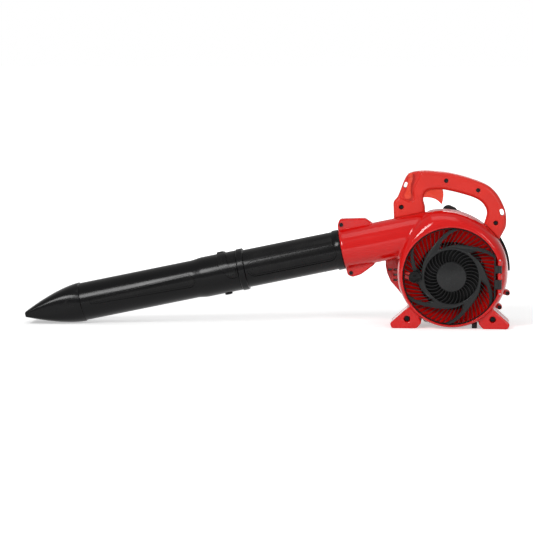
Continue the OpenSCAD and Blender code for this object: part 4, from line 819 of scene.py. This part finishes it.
def lower_tube():
    """The tube with the bell that slides over the upper one, its bayonet band and pegs."""
    inner, near, far = TUBE_R - TUBE_WALL, LOWER_START, NOZZLE_START
    profile = [
        (BELL_START, TUBE_R + SLIDE), (BELL_START, BELL_R - 0.8), (BELL_START + 0.8, BELL_R),
        (near, BELL_R), (near + 6, BELL_R - 0.5), (near + 16, TUBE_R + 0.5), (near + 22, TUBE_R),
        (far - 0.6, TUBE_R), (far - 0.05, TUBE_R - 0.5), (far - 0.05, inner),
        (BELL_START + 73, inner), (BELL_START + 73, TUBE_R + SLIDE),
    ]
    made = turned_on_tube("lower_tube_moulding", profile)
    ends = (near + 30, 1, 12), (far - 26, 0, 4.5)
    panel = raised_panel(*ends)
    edge = rounded(BAND_POINTS, 4)
    wide_edge = [(20 + (u - 20) * 1.18, 16 + (v - 16) * 1.12) for u, v in edge]
    band = band_part("band", edge, BELL_START, BELL_R + 2.4, BELL_R - 0.8)
    groove = band_part("band_groove", wide_edge, BELL_START + 0.5, BELL_R + 4, BELL_R - GROOVE_DEEP)
    shape(made, cut=[groove, panel_groove(*ends)])
    pegs = []
    for side in (1, -1):
        root, neck, top = (on_tube(BELL_START + 32, side * (BELL_R + up)) for up in (-2, 2.5, 3.5))
        peg = rod("peg", root, neck, 8, 40)
        pegs.append(shape(peg, add=[rod("peg_top", neck, top, 8, 40, end_r=7)]))
    shape(made, add=[panel, band, *pegs])
    return smooth(made, 32)


def nozzle_section(s, w, inner=False):
    """The nozzle's outline at share s of its length, w inside its skin, or its hollow's."""
    r = TUBE_R + 1.7
    t = max(0.0, min(1.0, s))
    limit = TUBE_R - TUBE_WALL - SLIDE - SPIGOT_WALL + 0.5
    high = r - (r - TIP_H) * t**1.6
    if inner:
        h = min(limit, high - TUBE_WALL)
        b = limit + (TIP_W - TUBE_WALL - limit) * t
    else:
        h, b = high - w, r + (TIP_W - r) * t - w
    e = 2 / (2 + 3 * t)
    ring = []
    for i in range(120):
        a = math.radians(3 * i)
        ca, sa = math.cos(a), math.sin(a)
        v = h * math.copysign(abs(ca) ** e, ca)
        y = b * math.copysign(abs(sa) ** e, sa)
        ring.append(on_tube(NOZZLE_START + s * NOZZLE_LEN, v, y))
    return ring


def nozzle():
    """The flat nozzle, with the spigot in the lower tube and the hook of its catch."""
    steps, u = 40, NOZZLE_START
    outer = [nozzle_section(0, 0.8), nozzle_section(0.006, 0)]
    outer += [nozzle_section(k / steps, 0) for k in range(1, steps)]
    outer += [nozzle_section(0.994, 0), nozzle_section(1, 0.6)]
    made = loft("nozzle_moulding", outer)
    hollow = [nozzle_section(k / steps, 0, True) for k in range(-2, steps + 3)]
    shape(made, cut=[loft("hollow", hollow)])
    r1 = TUBE_R - TUBE_WALL - SLIDE
    r0 = r1 - SPIGOT_WALL
    spigot = turned_on_tube("spigot", [(u - 32, r0), (u - 32, r1), (u + 3, r1), (u + 3, r0)])
    hook = [(u + 14, -3)] + [around(9, a, u + 23, 6) for a in range(-90, 91, 10)]
    hook += [(u + 14, 15), (u + 14, 12)]
    hook += [around(6, a, u + 23, 6) for a in range(90, -91, -10)] + [(u + 14, 0)]
    catch = prism("catch", tube_outline(hook), -TUBE_R - 2.7, -TUBE_R + 4.3)
    x, _, z = on_tube(u + 25, 3)
    stud = rod_y("stud", x, z, -TUBE_R - 2.5, -TUBE_R + 4, 2.6, 24)
    shape(made, add=[spigot, catch, stud])
    return smooth(made, 32)


# ---- Finishes ----
def group(name, inputs, outputs):
    """A node group with number inputs and named outputs."""
    tree = bpy.data.node_groups.new(name, "ShaderNodeTree")
    for title, value in inputs:
        socket = tree.interface.new_socket(title, in_out="INPUT", socket_type="NodeSocketFloat")
        socket.default_value = value
    for title, kind in outputs:
        tree.interface.new_socket(title, in_out="OUTPUT", socket_type=kind)
    return tree, tree.nodes.new("NodeGroupInput"), tree.nodes.new("NodeGroupOutput")


def add(tree, kind, links=(), **settings):
    """Adds a node, sets it up and links its inputs, given as (input, source socket or value)."""
    node = tree.nodes.new(kind)
    for key, value in settings.items():
        setattr(node, key, value)
    for key, source in links:
        if isinstance(source, bpy.types.NodeSocket):
            tree.links.new(source, node.inputs[key])
        else:
            node.inputs[key].default_value = source
    return node


def maths(tree, way, a, b=0.0, clamp=False):
    return add(tree, "ShaderNodeMath", [(0, a), (1, b)], operation=way, use_clamp=clamp).outputs[0]


def spread(tree, value, low, high, to_low=0.0, to_high=1.0):
    """Stretches a value from one span to another, held at the ends."""
    return add(
        tree, "ShaderNodeMapRange",
        [("Value", value), ("From Min", low), ("From Max", high), ("To Min", to_low), ("To Max", to_high)],
    ).outputs[0]


def object_place(tree):
    return add(tree, "ShaderNodeTexCoord").outputs["Object"]


def noise(tree, place, scale, detail):
    links = [("Vector", place), ("Scale", scale), ("Detail", detail)]
    return add(tree, "ShaderNodeTexNoise", links).outputs["Fac"]


def build_worn_edges():
    """Where handling has rubbed the raised edges, broken up by a fine mottle."""
    tree, i, o = group(
        "worn_edges", [("Reach", 0.55), ("Grain", 220.0)], [("Mask", "NodeSocketFloat")]
    )
    reach = i.outputs["Reach"]
    edge = add(tree, "ShaderNodeNewGeometry").outputs["Pointiness"]
    mottle = noise(tree, object_place(tree), i.outputs["Grain"], 5.0)
    raised = spread(tree, edge, reach, maths(tree, "ADD", reach, 0.06))
    broken = spread(tree, mottle, 0.42, 0.62)
    tree.links.new(maths(tree, "MULTIPLY", raised, broken), o.inputs["Mask"])
    return tree


def build_moulded_grain():
    """The fine spark-eroded texture of a plastic tool as a height, and broad patches of tone."""
    tree, i, o = group(
        "moulded_grain", [("Grain", 1500.0)],
        [("Height", "NodeSocketFloat"), ("Patch", "NodeSocketFloat")],
    )
    place, scale = object_place(tree), i.outputs["Grain"]
    fine = noise(tree, place, scale, 3.0)
    pits = add(tree, "ShaderNodeTexVoronoi", [("Vector", place), ("Scale", scale)])
    pits = maths(tree, "MULTIPLY", pits.outputs["Distance"], 0.5)
    tree.links.new(maths(tree, "ADD", fine, pits), o.inputs["Height"])
    tree.links.new(noise(tree, place, 14.0, 4.0), o.inputs["Patch"])
    return tree


def build_settled_dust():
    """Fine dust that has come to rest on upward faces and in hollows."""
    tree, i, o = group("settled_dust", [("Amount", 0.3)], [("Mask", "NodeSocketFloat")])
    surface = add(tree, "ShaderNodeNewGeometry")
    up = add(tree, "ShaderNodeSeparateXYZ", [(0, surface.outputs["Normal"])]).outputs["Z"]
    flat = maths(tree, "MULTIPLY", spread(tree, up, 0.2, 1.0), 0.5)
    hollow = spread(tree, surface.outputs["Pointiness"], 0.5, 0.44)
    speck = spread(tree, noise(tree, object_place(tree), 42.0, 8.0), 0.4, 0.75)
    lying = maths(tree, "MULTIPLY", maths(tree, "MAXIMUM", flat, hollow), speck)
    mask = maths(tree, "MULTIPLY", lying, i.outputs["Amount"], clamp=True)
    tree.links.new(mask, o.inputs["Mask"])
    return tree


def build_fine_scratches():
    """Hairline scratches in crossing directions, as a mask."""
    tree, i, o = group("fine_scratches", [("Spacing", 60.0)], [("Mask", "NodeSocketFloat")])
    place = object_place(tree)
    found = None
    for turn, stretch in ((0.5, (1, 14, 1)), (-0.9, (1, 1, 18)), (1.7, (12, 1, 1))):
        lay = add(
            tree, "ShaderNodeMapping",
            [("Vector", place), ("Rotation", (turn, turn * 0.6, turn)), ("Scale", stretch)],
        )
        thin = spread(tree, noise(tree, lay.outputs[0], i.outputs["Spacing"], 2.0), 0.66, 0.72)
        found = thin if found is None else maths(tree, "MAXIMUM", found, thin)
    tree.links.new(found, o.inputs["Mask"])
    return tree


def build_recess():
    """How far in from the intake a point lies, from its front value to its back value, as the mask for
    painted shade deep in the grille.
    """
    tree, i, o = group(
        "recess", [("Front", -0.115), ("Back", -0.110)], [("Mask", "NodeSocketFloat")]
    )
    depth = add(tree, "ShaderNodeSeparateXYZ", [(0, object_place(tree))]).outputs["Y"]
    mask = spread(tree, depth, i.outputs["Front"], i.outputs["Back"])
    tree.links.new(mask, o.inputs["Mask"])
    return tree


PAINTED_RECESS_SHADE = build_recess()
WORN_EDGES = build_worn_edges()
MOULDED_GRAIN = build_moulded_grain()
SETTLED_DUST = build_settled_dust()
FINE_SCRATCHES = build_fine_scratches()


def use(tree, effect, **values):
    """Places a shared effect in a material with its own values."""
    node = tree.nodes.new("ShaderNodeGroup")
    node.node_tree = effect
    for key, value in values.items():
        node.inputs[key].default_value = value
    return node


def mix_colour(tree, share, a, b):
    """Goes from colour a to colour b by share; each may be a value or a socket."""
    node = add(tree, "ShaderNodeMix", data_type="RGBA")
    for socket, value in ((node.inputs[0], share), (node.inputs[6], a), (node.inputs[7], b)):
        if isinstance(value, bpy.types.NodeSocket):
            tree.links.new(value, socket)
        else:
            socket.default_value = value if not isinstance(value, tuple) else (*value, 1.0)
    return node.outputs[2]


# IN_SHADE is the near-black colour painted as shade deep in the intake; DUST is real dust.
DUST, IN_SHADE = (0.42, 0.38, 0.32), (0.0015, 0.0015, 0.0016)


def finish_of(
    name, colour, rough, deep=None, worn=None, grain=1500.0, bump=0.02, metal=0.0, wear=0.5,
    dust=0.2, scratches=0.3, rough_span=0.06, specular=0.5, transmission=0.0, subsurface=0.0,
    recess=None,
):
    """A finish with patchy depth of colour, worn edges, dust, scratches and a moulded grain.

    The bump is in millimetres, and recess gives the Y where painted shade, the base colour darkened
    towards near black deep in the intake, begins and ends.
    """
    made = bpy.data.materials.new(name)
    made.use_nodes = True
    t = made.node_tree
    shader = t.nodes["Principled BSDF"]
    g = use(t, MOULDED_GRAIN, Grain=grain)
    edges = use(t, WORN_EDGES, Reach=0.56)
    dirt = use(t, SETTLED_DUST, Amount=dust)
    lines = use(t, FINE_SCRATCHES, Spacing=60.0)
    deep = deep or tuple(c * 0.82 for c in colour)
    worn = worn or tuple(min(1.0, c * 1.25 + 0.03) for c in colour)
    base = mix_colour(t, spread(t, g.outputs["Patch"], 0.35, 0.65), deep, colour)
    base = mix_colour(t, maths(t, "MULTIPLY", edges.outputs["Mask"], wear), base, worn)
    base = mix_colour(t, dirt.outputs["Mask"], base, DUST)
    shader.inputs["Specular IOR Level"].default_value = specular
    # Painted shade: deep in the intake the base colour is darkened towards near black.
    if recess:
        painted_shade_mask = use(t, PAINTED_RECESS_SHADE, Front=recess[0], Back=recess[1]).outputs["Mask"]
        base = mix_colour(t, painted_shade_mask, base, IN_SHADE)
    t.links.new(base, shader.inputs["Base Color"])
    r = spread(t, g.outputs["Patch"], 0.3, 0.7, rough - rough_span / 2, rough + rough_span / 2)
    r = maths(t, "ADD", r, maths(t, "MULTIPLY", lines.outputs["Mask"], scratches * 0.2))
    r = maths(t, "ADD", r, maths(t, "MULTIPLY", dirt.outputs["Mask"], 0.5), clamp=True)
    if recess:
        r = maths(t, "ADD", r, maths(t, "MULTIPLY", painted_shade_mask, 0.5), clamp=True)
    t.links.new(r, shader.inputs["Roughness"])
    raised = add(
        t, "ShaderNodeBump",
        [("Height", g.outputs["Height"]), ("Strength", 0.35), ("Distance", bump / 1000)],
    )
    t.links.new(raised.outputs[0], shader.inputs["Normal"])
    shader.inputs["Metallic"].default_value = metal
    shader.inputs["Transmission Weight"].default_value = transmission
    shader.inputs["Subsurface Weight"].default_value = subsurface
    if subsurface:
        shader.inputs["Subsurface Radius"].default_value = (0.004, 0.004, 0.003)
        shader.inputs["Subsurface Scale"].default_value = 1.0
    return made


FINISHES = {
    "housing_red": finish_of(
        "glossy_red_shell", (0.68, 0.006, 0.005), 0.12, deep=(0.62, 0.004, 0.0035),
        worn=(0.72, 0.02, 0.015), grain=260.0, bump=0.004, wear=0.25, dust=0.01, scratches=0.25,
        rough_span=0.04, specular=0.36,
    ),
    "handle_red": finish_of(
        "satin_red_grip", (0.72, 0.030, 0.020), 0.32, deep=(0.66, 0.025, 0.017),
        worn=(0.78, 0.06, 0.045), grain=1400.0, bump=0.04, wear=0.4, dust=0.02, scratches=0.4,
        specular=0.30,
    ),
    "control_red": finish_of(
        "orange_red_control", (0.80, 0.045, 0.012), 0.30, deep=(0.74, 0.036, 0.010),
        worn=(0.86, 0.12, 0.06), grain=1400.0, bump=0.02, wear=0.3, dust=0.05,
    ),
    "black_plastic": finish_of(
        "satin_black_moulding", (0.004, 0.004, 0.0044), 0.20, worn=(0.04, 0.04, 0.04),
        bump=0.02, wear=0.3, dust=0.01, scratches=0.4, specular=0.17,
    ),
    "grille_plastic": finish_of(
        "charcoal_grille", (0.009, 0.0096, 0.0100), 0.28, deep=(0.0085, 0.0090, 0.0094),
        worn=(0.03, 0.03, 0.03), bump=0.03, wear=0.3, dust=0.0, scratches=0.15, specular=0.30,
        # Painted shade: the grille darkens towards near black from its face back into the intake.
        recess=(-0.1164, -0.1085),
    ),
    "rubber": finish_of(
        "soft_black_rubber", (0.012, 0.012, 0.012), 0.75, worn=(0.05, 0.05, 0.05), grain=900.0,
        bump=0.08, wear=0.4, dust=0.25, scratches=0.1,
    ),
    "steel": finish_of(
        "bright_steel", (0.55, 0.56, 0.58), 0.28, worn=(0.75, 0.76, 0.78), grain=700.0,
        bump=0.01, metal=1.0, wear=0.6, dust=0.08, scratches=0.7,
    ),
    "dark_steel": finish_of(
        "blackened_steel", (0.010, 0.010, 0.011), 0.34, worn=(0.07, 0.07, 0.072), grain=700.0,
        metal=0.6, wear=0.3, dust=0.01, scratches=0.4, specular=0.3,
    ),
    "muffler_steel": finish_of(
        "heat_dulled_steel", (0.10, 0.095, 0.09), 0.55, deep=(0.07, 0.055, 0.045),
        worn=(0.28, 0.27, 0.26), grain=500.0, bump=0.05, metal=0.7, wear=0.6, dust=0.25,
        scratches=0.4,
    ),
    "cast_alloy": finish_of(
        "cast_alloy", (0.48, 0.49, 0.50), 0.48, deep=(0.40, 0.41, 0.42), worn=(0.75, 0.76, 0.77),
        grain=800.0, bump=0.12, metal=0.9, wear=0.6, dust=0.25,
    ),
    "foam": finish_of(
        "open_foam", (0.07, 0.072, 0.072), 0.95, worn=(0.12, 0.12, 0.12), grain=420.0, bump=0.5,
        wear=0.2, dust=0.3, scratches=0.0,
    ),
    "tank_plastic": finish_of(
        "milky_tank", (0.72, 0.71, 0.64), 0.36, deep=(0.66, 0.65, 0.57), worn=(0.80, 0.79, 0.74),
        grain=900.0, bump=0.05, wear=0.3, dust=0.25, subsurface=0.35,
    ),
    "clear_bulb": finish_of(
        "clear_bulb", (0.50, 0.51, 0.49), 0.18, worn=(0.6, 0.6, 0.6), grain=900.0, bump=0.01,
        wear=0.2, dust=0.1, scratches=0.2, transmission=0.5,
    ),
}


def wear_finish(made, slot):
    """Gives a piece the finish of a material slot."""
    made.data.materials.clear()
    made.data.materials.append(FINISHES[slot])
    return made


# ---- Camera ----
CAMERA_TURN, CAMERA_RISE = math.radians(5.0), math.radians(5.5)
CAMERA_AWAY, LENS, SENSOR = 5.2, 171.4, 36.0
AIM_RIGHT, AIM_UP = -0.379, 0.0209  # from the middle of the intake to the middle of the view


def set_camera():
    """A long lens from a little to the right of the intake's side and a little above."""
    a, e = CAMERA_TURN, CAMERA_RISE
    right = Vector((math.cos(a), math.sin(a), 0))
    up = Vector((-math.sin(a) * math.sin(e), math.cos(a) * math.sin(e), math.cos(e)))
    back = Vector((math.sin(a) * math.cos(e), -math.cos(a) * math.cos(e), math.sin(e)))
    target = at(0, FRONT, 0) + right * AIM_RIGHT + up * AIM_UP
    data = bpy.data.cameras.new("camera")
    data.lens, data.sensor_width, data.clip_end = LENS, SENSOR, 50.0
    camera = bpy.data.objects.new("camera", data)
    camera.location = target + back * CAMERA_AWAY
    camera.rotation_euler = back.to_track_quat("Z", "Y").to_euler()
    scene.collection.objects.link(camera)
    scene.camera = camera


# ---- Studio ----
def lamp(name, place, aim, size, power, tall=None):
    """A soft area lamp at place, turned to aim; power is in watts."""
    data = bpy.data.lights.new(name, "AREA")
    data.energy, data.size = power, size
    if tall:
        data.shape, data.size_y = "RECTANGLE", tall
    made = bpy.data.objects.new(name, data)
    made.location = place
    made.rotation_euler = (Vector(place) - Vector(aim)).to_track_quat("Z", "Y").to_euler()
    scene.collection.objects.link(made)


def set_lamps():
    middle = (0.1, 0.0, 0.12)
    lamp("key", (-1.15, -2.5, 1.9), middle, 0.8, 52, tall=1.0)
    lamp("fill", (2.0, -2.6, 1.5), middle, 0.8, 22, tall=1.0)
    lamp("rim", (0.6, 2.6, 2.2), middle, 1.4, 22)
    lamp("top", (0.1, -0.6, 3.0), middle, 1.6, 12)


WHITE = (1, 1, 1, 1)
SOFT_LIGHT, MIRRORED = 0.22, 0.4  # the world's light, and how white it is in reflections


def set_world():
    """A white surround for the camera and glass, and a soft even light for the rest."""
    world = bpy.data.worlds.new("studio")
    world.use_nodes = True
    scene.world = world
    t = world.node_tree
    t.nodes.clear()
    ray = add(t, "ShaderNodeLightPath").outputs
    seen = maths(t, "MAXIMUM", ray["Is Camera Ray"], ray["Is Transmission Ray"])
    seen = maths(t, "MAXIMUM", seen, maths(t, "MULTIPLY", ray["Is Glossy Ray"], MIRRORED))
    soft = add(t, "ShaderNodeBackground", [("Color", WHITE), ("Strength", SOFT_LIGHT)])
    white = add(t, "ShaderNodeBackground", [("Color", WHITE), ("Strength", 1.0)])
    both = add(t, "ShaderNodeMixShader", [(0, seen), (1, soft.outputs[0]), (2, white.outputs[0])])
    add(t, "ShaderNodeOutputWorld", [("Surface", both.outputs[0])])


FLOOR_HALF = 30.0
PAPER_NEAR, PAPER_FAR, PAPER_GLOW = 0.6, 1.9, 0.46  # where the paper whitens out, and from what


def set_floor():
    """White paper that keeps the object's shadow and fades into the white surround."""
    data, s = bpy.data.meshes.new("floor"), FLOOR_HALF
    data.from_pydata([(-s, -s, 0), (s, -s, 0), (s, s, 0), (-s, s, 0)], [], [(0, 1, 2, 3)])
    floor = bpy.data.objects.new("floor", data)
    scene.collection.objects.link(floor)
    paper = bpy.data.materials.new("white_paper")
    paper.use_nodes = True
    t = paper.node_tree
    shader = t.nodes["Principled BSDF"]
    shader.inputs["Roughness"].default_value = 0.9
    shader.inputs["Specular IOR Level"].default_value = 0.1
    mottle = add(t, "ShaderNodeTexNoise", [("Scale", 3.0)]).outputs["Fac"]
    tone = mix_colour(t, mottle, (0.90, 0.90, 0.90), (0.93, 0.93, 0.93))
    t.links.new(tone, shader.inputs["Base Color"])
    ray = add(t, "ShaderNodeLightPath").outputs
    lift = maths(t, "MAXIMUM", ray["Is Camera Ray"], ray["Is Glossy Ray"])
    far = add(t, "ShaderNodeVectorMath", [(0, object_place(t))], operation="LENGTH")
    rise = spread(t, far.outputs["Value"], PAPER_NEAR, PAPER_FAR, PAPER_GLOW, 1.0)
    strength = maths(t, "MULTIPLY", lift, rise)
    glow = add(t, "ShaderNodeEmission", [("Color", WHITE), ("Strength", strength)])
    total = add(t, "ShaderNodeAddShader", [(0, shader.outputs[0]), (1, glow.outputs[0])])
    t.links.new(total.outputs[0], t.nodes["Material Output"].inputs["Surface"])
    data.materials.append(paper)


# ---- Assembly ----
slots = {row["node"]: row["material_slot"] for row in frame["record"]["subparts"]}
bodies = {
    node: body for body, nodes in frame["record"]["behaviour"]["bodies"].items() for node in nodes
}
replaced = set()


def put(made, node):
    """A finished piece takes its CAD node's place."""
    wear_finish(made, slots[node])
    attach(made, bodies[node])
    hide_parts(node)
    replaced.add(node)


def soften(made):
    """Rounds the edges of a CAD node that stays, without changing its mesh."""
    m = made.modifiers.new("welded", "WELD")
    m.merge_threshold = 0.00002
    m = made.modifiers.new("plain_faces", "DECIMATE")
    m.decimate_type, m.angle_limit = "DISSOLVE", math.radians(1.0)
    m = made.modifiers.new("soft_edges", "BEVEL")
    m.width, m.segments, m.limit_method, m.angle_limit = 0.0005, 2, "ANGLE", math.radians(50)
    m.use_clamp_overlap = True
    smooth(made, 32)


scene.view_settings.view_transform = "Standard"
set_camera()
set_lamps()
set_world()
set_floor()

whole_housing = housing_body()
put(fan_cover(whole_housing), "fan_cover")
put(fan_housing_back(whole_housing), "fan_housing_back")
bpy.data.objects.remove(whole_housing)
whole_handle = handle_whole()
put(handle_half(whole_handle, -1), "handle_left")
put(handle_half(whole_handle, 1), "handle_right")
bpy.data.objects.remove(whole_handle)
put(grille(), "intake_grille")
put(upper_tube(), "upper_tube")
put(lower_tube(), "lower_tube")
put(nozzle(), "nozzle")
shield = wear_finish(heat_shield(), "muffler_steel")
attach(shield, "housing")

for node, made in frame["nodes"].items():
    wear_finish(made, slots[node])
    if node not in replaced:
        soften(made)
